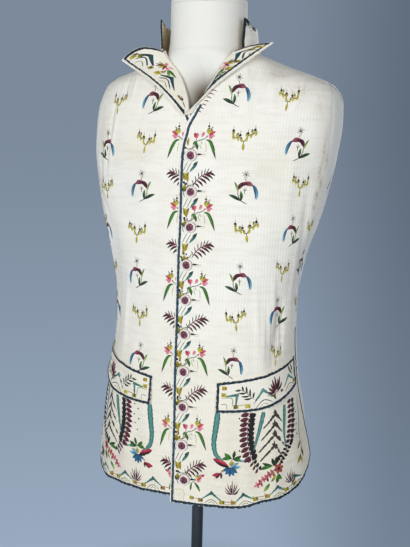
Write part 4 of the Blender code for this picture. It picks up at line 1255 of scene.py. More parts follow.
def side_posy(needle):
    """Dark leaves, an ochre flower and a trail of pink petals at the foot of the roofs."""
    needle.leaf((-2.0, 7.0), (12.0, 24.0), 8.0, "plum", "dark_green", bow=0.10)
    needle.leaf((-2.0, 8.0), (-5.0, 20.0), 6.0, "dark_green", "plum", bow=-0.1)
    needle.leaf((1.0, 8.0), (3.0, 22.0), 4.6, "leaf_green", "dark_green", bow=0.1)
    needle.leaf((-3.0, 7.5), (-24.0, 2.0), 6.8, "green", "leaf_green", bow=-0.14)
    needle.leaf((-3.0, 8.0), (-20.0, 13.0), 5.6, "leaf_green", "dark_green", bow=0.1)
    needle.leaf((10.0, 12.0), (17.0, 17.0), 4.6, "olive", "ochre", bow=0.1)
    for degrees in range(0, 360, 60):
        angle = math.radians(degrees + 15)
        end = (7.0 + 9.5 * math.cos(angle), 3.0 + 8.8 * math.sin(angle))
        needle.leaf((7.0, 3.0), end, 6.4, "rose_brown" if degrees % 120 else "ochre", "red", widest=1.2)
    needle.knot((7.0, 3.0), 3.8, "maroon", high=OVER_4)
    needle.knot((7.0, 3.0), 1.9, "plum", high=OVER_6)
    for x, y, reach, first, second in TRAIL:
        needle.leaf((x + 3.0, y - 2.6), (x - reach * 0.5, y + reach * 0.8), 5.4, first, second, bow=0.14)
        needle.leaf((x + 1.0, y - 1.6), (x - reach, y - reach * 0.5), 4.6, second, first, bow=-0.14)
        needle.leaf((x, y - 1.0), (x + reach * 0.3, y - reach * 0.9), 3.6, first, "maroon", bow=0.1)
        needle.knot((x, y), 1.7, "gold" if reach > 6.8 else "maroon", high=OVER_3)
    needle.leaf((2.0, -5.0), (-6.0, -17.0), 5.4, "yellow", "olive", bow=0.12)
    needle.leaf((6.0, -5.0), (3.0, -20.0), 7.6, "green", "dark_green", bow=0.12)
    needle.leaf((6.0, -5.0), (13.0, -15.0), 6.4, "leaf_green", "green", bow=-0.1)
    needle.leaf((-8.0, -19.0), (-18.0, -33.0), 6.4, "green", "pale_green", bow=0.08)


def wheat(needle, places, spacing, length, width, colours):
    """A garland of heavy leaves that lie in pairs like an ear of wheat."""
    count = max(3, int(round(steps_of(np.asarray(places, float)).sum() / spacing)))
    run = through(places, count)
    for place, way in zip(run, ahead_of(run)):
        aside = np.array((way[1], -way[0]))
        start = place - way * length * 0.22 + aside * 0.3
        end = place + aside * length * 1.08 + way * length * 0.20
        needle.leaf(start, end, width, colours[0], colours[0], bow=0.12, full=0.62, widest=0.9)
        start = place + way * length * 0.18 - aside * 0.3
        end = place - aside * length * 0.86 - way * length * 0.26
        needle.leaf(start, end, width * 1.25, colours[1], colours[1], bow=-0.10, full=0.5, widest=0.66)
    needle.line(run, 1.3, colours[1], colours[1])


def skirt(stitches, side):
    """The pattern between the pocket flap and the hem's border."""
    needle = Needle(stitches, (0.0, 0.0))

    def mm(places):
        return [(girth / MM, height / MM) for girth, height in places]

    for band, width, foot in ((BAND_FRONT, 12.0, 0.62), (BAND_MIDDLE, 8.6, 0.45), (BAND_SIDE, 7.6, 0.45)):
        needle.ribbon(mm(band), width, "deep_teal", "sea", foot)
        needle.ribbon(mm(band), width * 0.74, "teal", "sea", foot, high=OVER_2)
    wheat(needle, mm(GARLAND), 7.0, 12.6, 8.0, ("maroon", "plum"))
    wheat(needle, mm(GARLAND_END), 5.0, 7.6, 4.4, ("maroon", "plum"))
    needle.line(mm(((0.1085, 0.4300), (0.1080, 0.4230))), 1.0, "plum", "dark_green")
    wheat(needle, mm(SIDE_GARLAND), 6.8, 9.2, 6.8, ("maroon", "plum"))
    wheat(needle, mm(SIDE_GARLAND_END), 5.2, 7.4, 4.6, ("plum", "plum"))
    needle.line(mm(SIDE_STEM), 1.4, "dark_green", "plum")
    for start, end, width, colour, tip in (((206.0, 352.0), (196.0, 338.0), 6.8, "olive", "gold"),
                                           ((206.5, 362.0), (212.0, 345.0), 4.6, "brown", "dark_green"),
                                           ((205.0, 372.0), (198.0, 360.0), 4.6, "brown", "plum"),
                                           ((204.0, 350.0), (209.0, 336.0), 4.2, "gold", "ochre")):
        needle.leaf(start, end, width, colour, tip, bow=0.12)
    for girth, height, left, right in ROOFS:
        roof = Needle(stitches, (girth, height))
        roof.wedge(left, (0.8, -1.6), 2.6, 7.0, "taupe", "taupe")
        roof.wedge((-2.2, 1.8), right, 9.6, 1.6, "taupe", "taupe", high=OVER_1)
        roof.line(((-1.4, 1.0), (-0.6, 6.0)), 1.6, "taupe")
    dots = DOTS + (DOTS_LEFT if side == LEFT else DOTS_RIGHT)
    for x, y in dots:
        needle.knot((x, y), 1.6, "plum")
    front_posy(Needle(stitches, FRONT_POSY))
    side_posy(Needle(stitches, SIDE_POSY))


def hem_line(side):
    """Girths and heights along a front's hem."""
    word = SIDES[side]
    share = np.linspace(0.0, 1.0, 161)
    height = eased(share, HEMLINE["share"], HEMLINE[word])
    start = front_edge(side, height)
    return start + (side_limit(height, FRONT, word) - start) * share, height


def hem_border(stitches, side):
    """Roofs, gold blocks and tufts along the hem, and a dotted box in the front corner."""
    girths, heights = hem_line(side)

    def standing(girth):
        height = np.interp(girth, girths, heights)
        slope = np.interp(girth + 0.006, girths, heights) - np.interp(girth - 0.006, girths, heights)
        return Needle(stitches, (girth, height), 1, math.atan2(slope, 0.012))

    for i, girth in enumerate(HEM_ROOFS):
        needle = standing(girth)
        top = HEM_ROOF_HEIGHT - 1.2 * i
        chevron(needle, (0.0, top), (-15.5, top - 11.5), (15.5, top - 12.0), "deep_teal", "teal")
        needle.line(((-11.0, 5.0), (0.5, top - 11.0), (12.0, 5.0)), 1.6, "pale_green", "grey")
        needle.line(((-5.0, 5.0), (0.5, top - 14.5), (6.0, 4.8)), 1.1, "grey", "olive")
        if i < len(HEM_ROOFS) - 1:
            for at, colour, shade in ((17.5, "gold", "olive"), (35.5, "ochre", "gold")):
                block = standing(girth + at * MM)
                square(block, (0.0, 9.2), 8.0, colour, shade)
                block.line(((-1.0, 12.0), (-4.5, 15.0)), 1.3, shade, "brown")
            link = standing(girth + 26.5 * MM)
            link.line(((-7.0, 10.8), (7.0, 10.2)), 1.4, "ochre", "olive")
            link.line(((-6.0, 6.4), (6.0, 6.0)), 1.0, "olive", "gold")
    corner = standing(0.018)
    square(corner, (0.0, 12.0), 7.0, "gold", "ochre")
    square(corner, (14.0, 10.0), 7.6, "ochre", "brown")
    corner.line(((4.0, 12.5), (10.0, 11.5)), 1.3, "olive")
    box = Needle(stitches, (CORNER_BOX, np.interp(0.0, girths, heights)), 1)
    box.line(((-9.0, 22.0), (7.0, 22.0), (7.0, 6.0)), 1.1, "yellow", "gold", taper=0.8)
    for x in range(-8, 6, 3):
        for y in range(8, 21, 4):
            box.knot((x, y), 0.6, "gold")
    for place in TUFTS:
        tuft(Needle(stitches, place))


# Ends of a tuft's stitches, each with its bow and its colour
TUFT = ((-12.0, 13.0, 0.20, "plum"), (-8.0, 19.0, 0.14, "maroon"), (-3.5, 17.0, 0.08, "plum"),
        (0.0, 24.0, 0.05, "maroon"), (3.5, 18.5, -0.08, "plum"), (7.5, 19.0, -0.14, "maroon"),
        (11.5, 11.5, -0.22, "plum"), (-13.0, 6.0, 0.2, "maroon"), (9.5, 5.0, -0.2, "plum"))


def tuft(needle):
    """A dark plume of curved stitches that grows up from the hem."""
    for x, y, lean, colour in TUFT:
        needle.leaf((0.0, 0.0), (x, y), 2.4, colour, "rose_brown" if colour == "maroon" else "plum", bow=lean)


def edging(stitches, path, inset, inward, width=EDGING, scale=(MM, MM), colours=("navy", "petrol")):
    """A line of close slanting stitches along a path, a little in from the cloth's edge."""
    path = np.asarray(path, float) / np.asarray(scale)
    count = max(8, int(steps_of(path).sum() / STITCH_RUN))
    centre = through(path, count)
    aside = left_of(ahead_of(centre)) * inward
    t = np.arange(count)
    wave = 0.16 * np.sin(t * 0.61 + 1.4 * np.sin(t * 0.083)) + 0.12 * np.sin(t * 1.73 + 1.0)
    centre = centre + aside * (inset / MM + wave)[:, None]
    width = np.interp(t / (count - 1.0), np.linspace(0.0, 1.0, np.size(width)), np.atleast_1d(width))
    half = width / MM / 2.0 * (1.0 + 0.10 * np.sin(t * 1.31 + 2.0 * np.sin(t * 0.137)))
    mix = (0.4 + 0.4 * np.sin(t * 0.83 + 0.6 * np.sin(t * 0.19)))[:, None]
    tints = hue(colours[0]) * (1.0 - mix) + hue(colours[1]) * mix
    Needle(stitches, (0.0, 0.0), scale=scale).strip(centre, half, tints, OVER_2)


def front_edges(stitches, side):
    """The edging down the front, along the hem and up the side."""
    word = SIDES[side]
    height = np.linspace(0.905, HEMLINE[word][0] + HEM_INSET, 60)
    girth = front_edge(side, height) + EDGE_OPENS * smooth_step(height, 0.825, 0.880)
    edging(stitches, np.stack((girth, height), axis=1), EDGE_INSET, 1.0, colours=("petrol", "slate"))
    edging(stitches, np.stack((girth, height), axis=1), EDGE_INSET + EDGING * 0.42, 1.0, 1.5 * MM,
           colours=("navy", "navy"))
    girths, heights = hem_line(side)
    inside = girths > girths[0] + EDGE_INSET - EDGING / 2.0
    inside &= girths < girths[-1] - HEM_INSET
    edging(stitches, np.stack((girths, heights), axis=1)[inside], HEM_INSET, 1.0, HEM_EDGING)
    rise = np.linspace(heights[-1], SIDE_EDGING_TOP, 40)
    limit = side_limit(rise, FRONT, word)
    edging(stitches, np.stack((limit, rise), axis=1), 2.6 * MM, 1.0, 5.0 * MM, colours=("navy", "plum"))


def fringe(stitches, side):
    """A comb of curved rose stitches just below the V, beside the neckline."""
    for i in range(7):
        height = 0.8935 + 0.0052 * i
        girth = float(front_edge(side, np.array(height))) + FRINGE_START + (0.0 if side == LEFT else 0.002)
        needle = Needle(stitches, (girth, height))
        colour = "plum" if i < 2 else ("maroon" if i < 5 else "rose_brown")
        reach = 6.0 + 0.9 * i
        needle.leaf((0.0, 0.0), (reach, -2.6), 2.0, colour, "rose_brown", bow=0.26, widest=0.8)


# Blocks on a pocket flap: girth, millimetres above its lower edge, size and two colours
FLAP_BLOCKS = ((0.0672, 38.0, 7.4, "gold", "ochre"), (0.0668, 27.5, 7.6, "gold", "yellow"),
               (0.0860, 9.0, 7.6, "olive", "gold"), (0.1040, 9.0, 7.8, "yellow", "gold"),
               (0.1905, 10.5, 6.4, "gold", "olive"), (0.1610, 15.5, 5.0, "brown", "ochre"))


def flap_pattern(stitches):
    """Blocks, angles, roofs and fronds on a pocket flap, with an edging all round."""
    rows = columns(FLAP_COLUMNS, FLAP)
    girth = np.linspace(rows["girth"][0], rows["girth"][-1], 50)
    lower, upper = flap_limits(girth)
    bottom = np.stack((girth, lower), axis=1)
    top = np.stack((girth, upper), axis=1)
    inset, width = 2.3 * MM, 4.8 * MM
    edging(stitches, bottom[1:-1], inset, 1.0, width)
    edging(stitches, top[1:-1], inset, -1.0, width)
    edging(stitches, np.linspace(bottom[0], top[0], 20), inset, -1.0, width)
    edging(stitches, np.linspace(bottom[-1], top[-1], 20), inset, 1.0, width)

    def needle(at, above):
        low = float(flap_limits(np.array(at))[0])
        slope = float(flap_limits(np.array(at + 0.008))[0] - flap_limits(np.array(at - 0.008))[0])
        return Needle(stitches, (at, low + above * MM), 1, math.atan2(slope, 0.016))

    for at, above, size, colour, shade in FLAP_BLOCKS:
        square(needle(at, above), (0.0, 0.0), size, colour, shade)
    needle(0.0950, 10.5).line(((-6.0, 1.0), (6.0, 1.0)), 1.3, "olive", "gold")
    angle = needle(0.0800, 26.0)
    angle.wedge((-10.0, -0.6), (10.0, 2.0), 3.4, 5.6, "teal", "deep_teal")
    angle.wedge((7.6, 3.6), (5.2, -15.0), 6.0, 3.0, "teal", "deep_teal")
    angle.line(((-18.5, -3.6), (-1.0, -3.6), (-0.6, -17.0)), 1.3, "pale_green", "grey")
    angle.line(((-18.5, -13.0), (-9.5, -13.0), (-9.5, -21.5)), 1.3, "grey", "pale_green")
    leafy = needle(0.1010, 18.0)
    leafy.line(((12.0, 0.5), (6.0, 8.0), (-1.0, 14.5), (-12.0, 19.5)), 1.4, "dark_green", "olive")
    for start, end in (((8.0, 5.5), (8.5, 18.0)), ((3.5, 11.0), (2.5, 22.5)), ((-2.0, 15.0), (-4.0, 23.5)),
                       ((10.0, 3.0), (-3.0, 2.5)), ((7.0, 7.0), (-7.0, 7.0)), ((2.0, 12.0), (-11.0, 12.5)),
                       ((12.0, 2.0), (14.5, 12.0)), ((-6.0, 17.0), (-16.0, 17.0))):
        leafy.leaf(start, end, 3.4, "dark_green", "dark_green", bow=0.12)
    for at, above, grow in ((0.1265, 31.0, 1.0), (0.1770, 29.0, 0.84)):
        roof = Needle(stitches, needle(at, above).at, 1, 0.12, grow=grow)
        chevron(roof, (0.0, 0.0), (-15.5, -20.0), (16.0, -13.0), "teal", "deep_teal", 1.06)
        roof.line(((-13.5, -28.0), (0.5, -16.0), (15.0, -22.0)), 1.6, "grey", "petrol")
        roof.line(((-7.0, -27.0), (1.0, -21.5), (8.0, -24.5)), 1.1, "pale_green", "grey")
    trestle = needle(0.1480, 9.0)
    trestle.wedge((0.0, 0.0), (0.0, 8.0), 3.0, 7.6, "brown", "olive")
    trestle.line(((-12.0, 11.0), (-1.0, 5.0), (5.0, 9.0), (12.0, 8.0)), 1.5, "olive", "brown")
    plume = needle(0.1500, 18.0)
    for x, y, lean in PLUME:
        plume.leaf((x * 0.14, y * 0.08), (x, y), 4.2, "maroon" if x < 6.0 else "plum", "plum", bow=lean)
        plume.leaf((x * 0.5, y * 0.5), (x * 0.86, y * 0.88), 1.5, "rose_brown", "pink", bow=lean, high=OVER_3)
    side_leaf = needle(0.1880, 22.0)
    side_leaf.leaf((0.0, 0.0), (-2.0, 22.0), 4.6, "leaf_green", "olive", bow=0.06)
    side_leaf.leaf((3.5, 4.0), (4.5, 18.0), 3.6, "plum", "dark_green", bow=-0.06)
    side_leaf.knot((-8.0, 21.0), 1.6, "plum")
    side_leaf.knot((6.5, 1.0), 2.2, "teal")


LAPEL_MM = (1.0 / 46.0, 1.0 / 26.0)  # shares and stations of a lapel in a millimetre, near its middle
LAPEL_LINE = {LEFT: (6.8 * MM, 7.0 * MM), RIGHT: (4.8 * MM, 5.4 * MM)}  # its edging's inset and width
LAPEL_LINE_MOST = (0.46, 0.50)  # the most of a lapel's breadth that the inset and the width may take
LAPEL_TOP_MM = (1.0 / 46.0, 1.0 / 17.0)  # the same where a lapel narrows at its top end
LAPEL_BROAD = {LEFT: 1.45, RIGHT: 1.0}  # how much broader a lapel's pattern is worked than it is tall
LAPEL_BLOCKS = ((0.78, 4.62, 7.6, "gold"), (0.62, 4.42, 6.6, "olive"), (0.66, 3.36, 6.6, "olive"),
                (0.62, 2.86, 8.0, "gold"), (0.44, 1.12, 5.6, "olive"))


def lapel_flower(needle):
    """A small open flower: gold and maroon strokes above two pink petals."""
    for end, colour, tip in (((-9.0, 7.0), "gold", "olive"), ((-4.0, 11.0), "maroon", "plum"),
                             ((1.0, 12.5), "ochre", "maroon"), ((6.0, 10.5), "gold", "yellow"),
                             ((9.5, 5.5), "maroon", "rose_brown")):
        needle.leaf((0.0, 0.0), end, 3.2, colour, tip, bow=0.12)
    needle.leaf((1.0, 0.0), (11.0, -3.0), 5.2, "pink", "pale_pink", bow=0.1)
    needle.leaf((-1.0, -1.0), (-9.5, -3.6), 5.0, "pink", "pale_pink", bow=-0.1)
    needle.leaf((0.0, -2.0), (3.5, -9.0), 4.0, "pale_pink", "pink")
    needle.knot((0.0, 0.0), 1.8, "maroon", high=OVER_3)


def lapel_pattern(stitches, side):
    """Gold blocks, teal angles and a flower on a lapel, with an edging just in from its outer edge."""
    stations = np.linspace(0.04, 4.90, 90)
    root, rim = lapel_cloth(side, np.zeros(90), stations), lapel_cloth(side, np.ones(90), stations)
    breadth = np.linalg.norm(rim - root, axis=1)
    inset, width = LAPEL_LINE[side]
    centre = 1.0 - np.minimum(inset / breadth, LAPEL_LINE_MOST[0])
    width = np.minimum(width / breadth, LAPEL_LINE_MOST[1]) * MM / LAPEL_MM[0]
    edging(stitches, np.stack((centre, stations), axis=1), 0.0, 1.0, width, scale=LAPEL_MM)
    top = np.stack((np.linspace(0.02, 0.94, 30), np.full(30, 4.90)), axis=1)
    edging(stitches, top, 0.0, 1.0, 4.0 * MM, scale=LAPEL_TOP_MM, colours=("navy", "navy"))
    scale = (LAPEL_MM[0] * LAPEL_BROAD[side], LAPEL_MM[1])

    def needle(share, station, grow=1.0, turn=0.0):
        return Needle(stitches, (share, station), 1, turn, scale=scale, grow=grow)

    for share, station, size, colour in LAPEL_BLOCKS:
        square(needle(share, station), (0.0, 0.0), size, colour, "yellow" if colour == "gold" else "gold")
    needle(0.70, 4.52).leaf((-4.0, 2.0), (3.0, 5.0), 3.4, "maroon", "plum")
    for share, station, grow in ((0.58, 3.98, 1.12), (0.52, 2.10, 1.12)):
        angle = needle(share, station, grow)
        angle.wedge((3.0, 13.0), (-8.4, 6.0), 3.0, 7.2, "deep_teal", "navy")
        angle.wedge((-8.4, 8.6), (-1.0, -13.0), 8.0, 3.0, "deep_teal", "petrol")
        angle.line(((8.0, 9.5), (-1.0, 4.0), (5.0, -11.0)), 2.4, "petrol", "deep_teal")
        angle.line(((12.0, 5.0), (5.0, 1.5), (9.0, -8.0)), 1.4, "pale_green", "grey")
    lapel_flower(needle(0.24, 3.30, 1.0, -1.3))
    stem = needle(0.24, 3.25)
    stem.leaf((-1.0, -6.0), (-3.0, -23.0), 5.0, "leaf_green", "green", bow=0.12)
    stem.leaf((1.0, -6.0), (9.0, -22.0), 4.6, "green", "pale_green", bow=-0.12)
    stem.leaf((3.0, -7.0), (13.0, -12.0), 3.6, "pale_green", "green", bow=-0.1)
    needle(0.40, 2.78).leaf((0.0, 0.0), (5.0, 4.0), 4.0, "pink", "red")
    fan(needle(0.35, 0.85), tall=9.0)
    needle(0.30, 0.50).leaf((0.0, -4.0), (2.0, 9.0), 4.0, "dark_green", "olive")


def make_embroidery():
    """Every stitched pattern, one mesh for each panel and kind."""
    for side, word in SIDES.items():
        def front(girth, height, lift):
            return front_cloth(side, girth, height, lift)

        def flap(girth, height, lift):
            return flap_cloth(side, girth, height, lift)

        def lapel(share, station, lift):
            return lapel_cloth(side, share, station, lift)

        for name, cloth, works in (
                ("sprigs", front, ((ground, (side,)),)),
                ("border", front, ((border, (side,)), (fringe, (side,)))),
                ("skirt_pattern", front, ((skirt, (side,)), (hem_border, (side,)))),
                ("edging_front", front, ((front_edges, (side,)),)),
                ("flap_pattern", flap, ((flap_pattern, ()),)),
                ("lapel_pattern", lapel, ((lapel_pattern, (side,)),))):
            stitches = Stitches()
            for work, given in works:
                work(stitches, *given)
            sewn_on(f"{name}_{word}", stitches, cloth)
        collar_pattern(side, word)


def collar_pattern(side, word):
    """The edging along a collar's front end and top, with small dark dots below it."""
    stitches = Stitches()
    height = np.linspace(COLLAR_SEAM + 0.003, COLLAR_TOP - 0.001, 24)
    edging(stitches, np.stack((np.full(24, COLLAR_START), height), axis=1), 1.9 * MM, -1.0, 3.6 * MM,
           colours=("plum", "navy"))
    reach = float(side_girth(np.array([COLLAR_TOP]), FRONT)[0])
    girth = np.linspace(COLLAR_START + 0.002, reach - 0.002, 40)
    edging(stitches, np.stack((girth, collar_top(side, FRONT, girth)), axis=1), 2.3 * MM, -1.0, 4.0 * MM,
           colours=("plum", "navy"))
    for x, y in ((5.0, -7.5), (9.0, -6.5), (12.5, -7.0), (16.0, -9.0), (19.0, -6.5)):
        at = COLLAR_START + x * MM
        needle = Needle(stitches, (at, float(collar_top(side, FRONT, np.array(at))) + y * MM))
        needle.knot((0.0, 0.0), 1.7, "plum")

    def front_end(girths, heights, lift):
        return collar_cloth(side, FRONT, girths, heights, lift)

    sewn_on(f"collar_pattern_{word}", stitches, front_end)


# Materials ---------------------------------------------------------------------------------------

SILK = (241, 238, 229)
SILK_AGED = (222, 212, 184)
# Colour of the painted shade in the troughs of the silk's slub ripples
PAINTED_TROUGH_SHADE = (176, 168, 150)
STAIN_AND_SHADE = (146, 122, 98)
LINEN = (226, 228, 226)
LINING = (214, 206, 186)
BUFF = (226, 208, 170)
COVER = (231, 229, 221)
COVER_SHADE = (207, 204, 194)
# Colour of the painted shade in the deep gap behind the V
COVER_PAINTED_SHADE = (84, 66, 46)
STEEL = (47, 54, 60)
STEEL_WORN = (84, 90, 94)
FLOOR = (176, 186, 200)
RIB = 0.0050  # spacing of the silk's fine ribs
THREAD_PITCH = 0.00062  # spacing of the cloth's threads
YELLOWED = (0.34, 0.66)  # heights between which the silk turns yellower towards the hem
RIPPLES = (24.0, 150.0, 1.0)  # slub ripples run round the body
STRAND_PITCH = 0.55  # spacing of satin stitches, in millimetres
SILK_RELIEF, LINEN_RELIEF = 0.00042, 0.00022  # depths of the weave


class Tree:
    """A node tree with short ways to add what the materials use."""

    def __init__(self, tree):
        self.tree = tree

    def feed(self, node, inputs):
        """Links or sets inputs of a node."""
        for key, value in inputs.items():
            if isinstance(value, bpy.types.NodeSocket):
                self.tree.links.new(value, node.inputs[key])
            else:
                node.inputs[key].default_value = value

    def node(self, kind, inputs=None, **settings):
        new = self.tree.nodes.new("ShaderNode" + kind)
        for key, value in settings.items():
            setattr(new, key, value)
        self.feed(new, inputs or {})
        return new

    def math(self, operation, a, b=0.0):
        return self.node("Math", {0: a, 1: b}, operation=operation).outputs[0]

    def times(self, a, b):
        return self.math("MULTIPLY", a, b)

    def plus(self, a, b):
        return self.math("ADD", a, b)

    def axes(self, place):
        return self.node("SeparateXYZ", {0: place}).outputs

    def length(self, vector):
        return self.node("VectorMath", {0: vector}, operation="LENGTH").outputs["Value"]

    def scaled(self, vector, amount):
        return self.node("VectorMath", {0: vector, "Scale": amount}, operation="SCALE").outputs[0]

    def where(self):
        """The place on the object that is being shaded."""
        return self.node("TexCoord").outputs["Object"]

    def layout(self, name):
        """The place in one of the mesh's flat layouts."""
        return self.node("UVMap", uv_map=name).outputs[0]

    def marked(self, name, kind="Fac"):
        """A value that the mesh's vertices carry."""
        return self.node("Attribute", attribute_name=name).outputs[kind]

    def blend(self, share, first, second, kind="MIX"):
        inputs = {0: share, 6: first, 7: second}
        return self.node("Mix", inputs, data_type="RGBA", blend_type=kind).outputs[2]

    def noise(self, place, scale, detail=3.0, rough=0.55):
        inputs = {"Vector": place, "Scale": scale, "Detail": detail, "Roughness": rough}
        return self.node("TexNoise", inputs).outputs["Fac"]

    def stretch(self, place, scale):
        return self.node("Mapping", {"Vector": place, "Scale": scale}).outputs[0]

    def between(self, value, low, high):
        """0 below low, 1 above high and smooth between them."""
        inputs = {"Value": value, "From Min": low, "From Max": high}
        return self.node("MapRange", inputs, interpolation_type="SMOOTHSTEP").outputs[0]

    def bump(self, height, distance, strength):
        inputs = {"Height": height, "Distance": distance, "Strength": strength}
        return self.node("Bump", inputs).outputs[0]

    def group(self, name, inputs):
        new = self.tree.nodes.new("ShaderNodeGroup")
        new.node_tree = bpy.data.node_groups[name]
        self.feed(new, inputs)
        return new.outputs


def solid(colour):
    """A daylight colour as a socket's linear value."""
    return (*linear(colour), 1.0)


def new_group(name, inputs, outputs):
    """An empty node group with named inputs and outputs, and its tree."""
    made = bpy.data.node_groups.new(name, "ShaderNodeTree")
    for word, kind in inputs:
        made.interface.new_socket(name=word, in_out="INPUT", socket_type="NodeSocket" + kind)
    for word in outputs:
        made.interface.new_socket(name=word, in_out="OUTPUT", socket_type="NodeSocketFloat")
    return Tree(made), made.nodes.new("NodeGroupInput").outputs, made.nodes.new("NodeGroupOutput")


def waves(tree, value, pitch):
    """A sine from 0 to 1 with one wave for each pitch of the value."""
    turned = tree.times(value, 2.0 * math.pi / pitch)
    raised = tree.plus(tree.math("SINE", turned), 1.0)
    return tree.times(raised, 0.5)


def make_weave():
    """Ribs and threads of a cloth, with slubs: a height for the bump and a slight shade, which paints the
    weave's low places darker as painted shade.
    """
    tree, given, result = new_group(
        "weave", (("Place", "Vector"), ("Rib Depth", "Float"), ("Slub Depth", "Float")), ("Height", "Shade"))
    axes = tree.axes(given["Place"])
    wander = tree.times(tree.noise(given["Place"], 60.0), 0.0011)
    ribs = waves(tree, tree.plus(axes["X"], wander), RIB)
    ribs = tree.times(ribs, tree.between(tree.noise(given["Place"], 17.0, 2.0), 0.22, 0.50))
    warp = waves(tree, axes["X"], THREAD_PITCH)
    weft = waves(tree, axes["Y"], THREAD_PITCH)
    threads = tree.times(warp, weft)
    slubs = tree.noise(tree.stretch(given["Place"], (90.0, 900.0, 1.0)), 1.0, 4.0, 0.65)
    grain = tree.noise(tree.stretch(given["Place"], (1500.0, 160.0, 1.0)), 1.0, 3.0, 0.6)
    deep = tree.times(ribs, given["Rib Depth"])
    uneven = tree.times(tree.plus(slubs, grain), given["Slub Depth"])
    height = tree.plus(tree.plus(deep, uneven), tree.times(threads, 0.25))
    tree.feed(result, {"Height": height, "Shade": tree.plus(deep, uneven)})


def make_ageing():
    """Uneven yellowing of old cloth, from 0 to 1."""
    tree, given, result = new_group("ageing", (("Place", "Vector"), ("Scale", "Float")), ("Mask",))
    broad = tree.noise(tree.scaled(given["Place"], given["Scale"]), 1.0, 5.0, 0.6)
    tree.feed(result, {"Mask": tree.between(broad, 0.42, 0.78)})


def make_strands():
    """Close parallel silk strands over the stitches: a height and a glint, a mask for a painted highlight and
    for roughness.
    """
    tree, given, result = new_group("strands", (("Place", "Vector"), ("Pitch", "Float")), ("Height", "Glint"))
    axes = tree.axes(given["Place"])
    slant = tree.times(axes["X"], 0.45)
    along = tree.math("DIVIDE", tree.plus(axes["Y"], slant), given["Pitch"])
    strand = waves(tree, along, 1.0)
    broken = tree.noise(tree.stretch(given["Place"], (0.5, 3.2, 1.0)), 1.0, 2.0)
    tree.feed(result, {"Height": tree.plus(strand, broken), "Glint": tree.between(broken, 0.35, 0.70)})


def make_wear():
    """Scattered dulling and rubbed marks on metal and painted surfaces, from 0 to 1."""
    tree, given, result = new_group("rubbing", (("Place", "Vector"), ("Scale", "Float")), ("Mask", "Fine"))
    spread = tree.scaled(given["Place"], given["Scale"])
    broad = tree.noise(spread, 1.0, 6.0, 0.6)
    fine = tree.noise(spread, 14.0, 3.0, 0.6)
    tree.feed(result, {"Mask": tree.between(broad, 0.45, 0.75), "Fine": fine})


def new_material(name):
    """An empty material with its tree and its shader."""
    material = bpy.data.materials.new(name)
    material.use_nodes = True
    shader = material.node_tree.nodes["Principled BSDF"]
    return material, Tree(material.node_tree), shader


def cloth_material(name, fresh, aged, ribs, slubs, rough, sheen, distance=LINEN_RELIEF, stained=False):
    """A woven cloth, yellowed in places, with its weave in the surface."""
    material, tree, shader = new_material(name)
    place = tree.layout("cloth")
    where = tree.where()
    weave = tree.group("weave", {"Place": place, "Rib Depth": ribs, "Slub Depth": slubs})
    age = tree.group("ageing", {"Place": where, "Scale": 7.0})["Mask"]
    colour = tree.blend(tree.times(age, 0.34), solid(fresh), solid(aged))
    mottle = tree.group("ageing", {"Place": where, "Scale": 34.0})["Mask"]
    colour = tree.blend(tree.times(mottle, 0.16), colour, solid(aged))
    # Painted shade: the cloth is darker where its ribs and slubs lie low
    dark = tree.times(tree.between(weave["Shade"], 1.1, 0.1), 0.12)
    colour = tree.blend(dark, colour, solid(tuple(0.72 * c for c in aged)))
    height = weave["Height"]
    if stained:
        axes = tree.axes(place)
        low = tree.between(axes["Y"], YELLOWED[1], YELLOWED[0])
        colour = tree.blend(tree.times(low, 0.34), colour, solid(aged))
        ripple = tree.noise(tree.stretch(place, RIPPLES), 1.0, 3.0, 0.55)
        height = tree.plus(height, tree.times(ripple, tree.plus(1.0, low)))
        height = tree.plus(height, tree.times(ripple, low))
        soil_and_shade = tree.marked("soil_and_shade")
        broken = tree.noise(where, 260.0, 5.0, 0.62)
        edge = tree.times(soil_and_shade, tree.between(broken, 0.30, 0.62))
        # Painted shade: the silk is darker in the troughs of its slub ripples, where shade would fall
        colour = tree.blend(tree.times(tree.between(ripple, 0.56, 0.36), 0.10), colour, solid(PAINTED_TROUGH_SHADE))
        # Stains, and high on the shoulder the painted shade of the gathers, darken and yellow the silk
        colour = tree.blend(edge, colour, solid(STAIN_AND_SHADE))
        colour = tree.blend(tree.times(soil_and_shade, 0.35), colour, solid(aged))
    tree.feed(shader, {
        "Base Color": colour,
        "Roughness": tree.plus(rough, tree.times(weave["Shade"], 0.08)),
        "Sheen Weight": sheen,
        "Sheen Roughness": 0.35,
        "Specular IOR Level": 0.35,
        "Normal": tree.bump(height, distance, 0.62),
    })
    return material


def thread_material():
    """Silk stitches in their own colours, glossy along the strands, with a painted glint that pales their
    colour in flecks.
    """
    material, tree, shader = new_material("thread")
    place = tree.layout("strands")
    strands = tree.group("strands", {"Place": place, "Pitch": STRAND_PITCH})
    tint = tree.marked("thread", "Color")
    # Painted highlight: flecks of the strands' glint pale the thread's colour
    pale = tree.blend(0.20, tint, (0.80, 0.79, 0.74, 1.0))
    colour = tree.blend(tree.times(strands["Glint"], 0.22), tint, pale)
    tree.feed(shader, {
        "Base Color": colour,
        "Roughness": tree.plus(0.50, tree.times(strands["Glint"], -0.10)),
        "Specular IOR Level": 0.14,
        "Normal": tree.bump(strands["Height"], 0.00012, 0.6),
    })
    return material


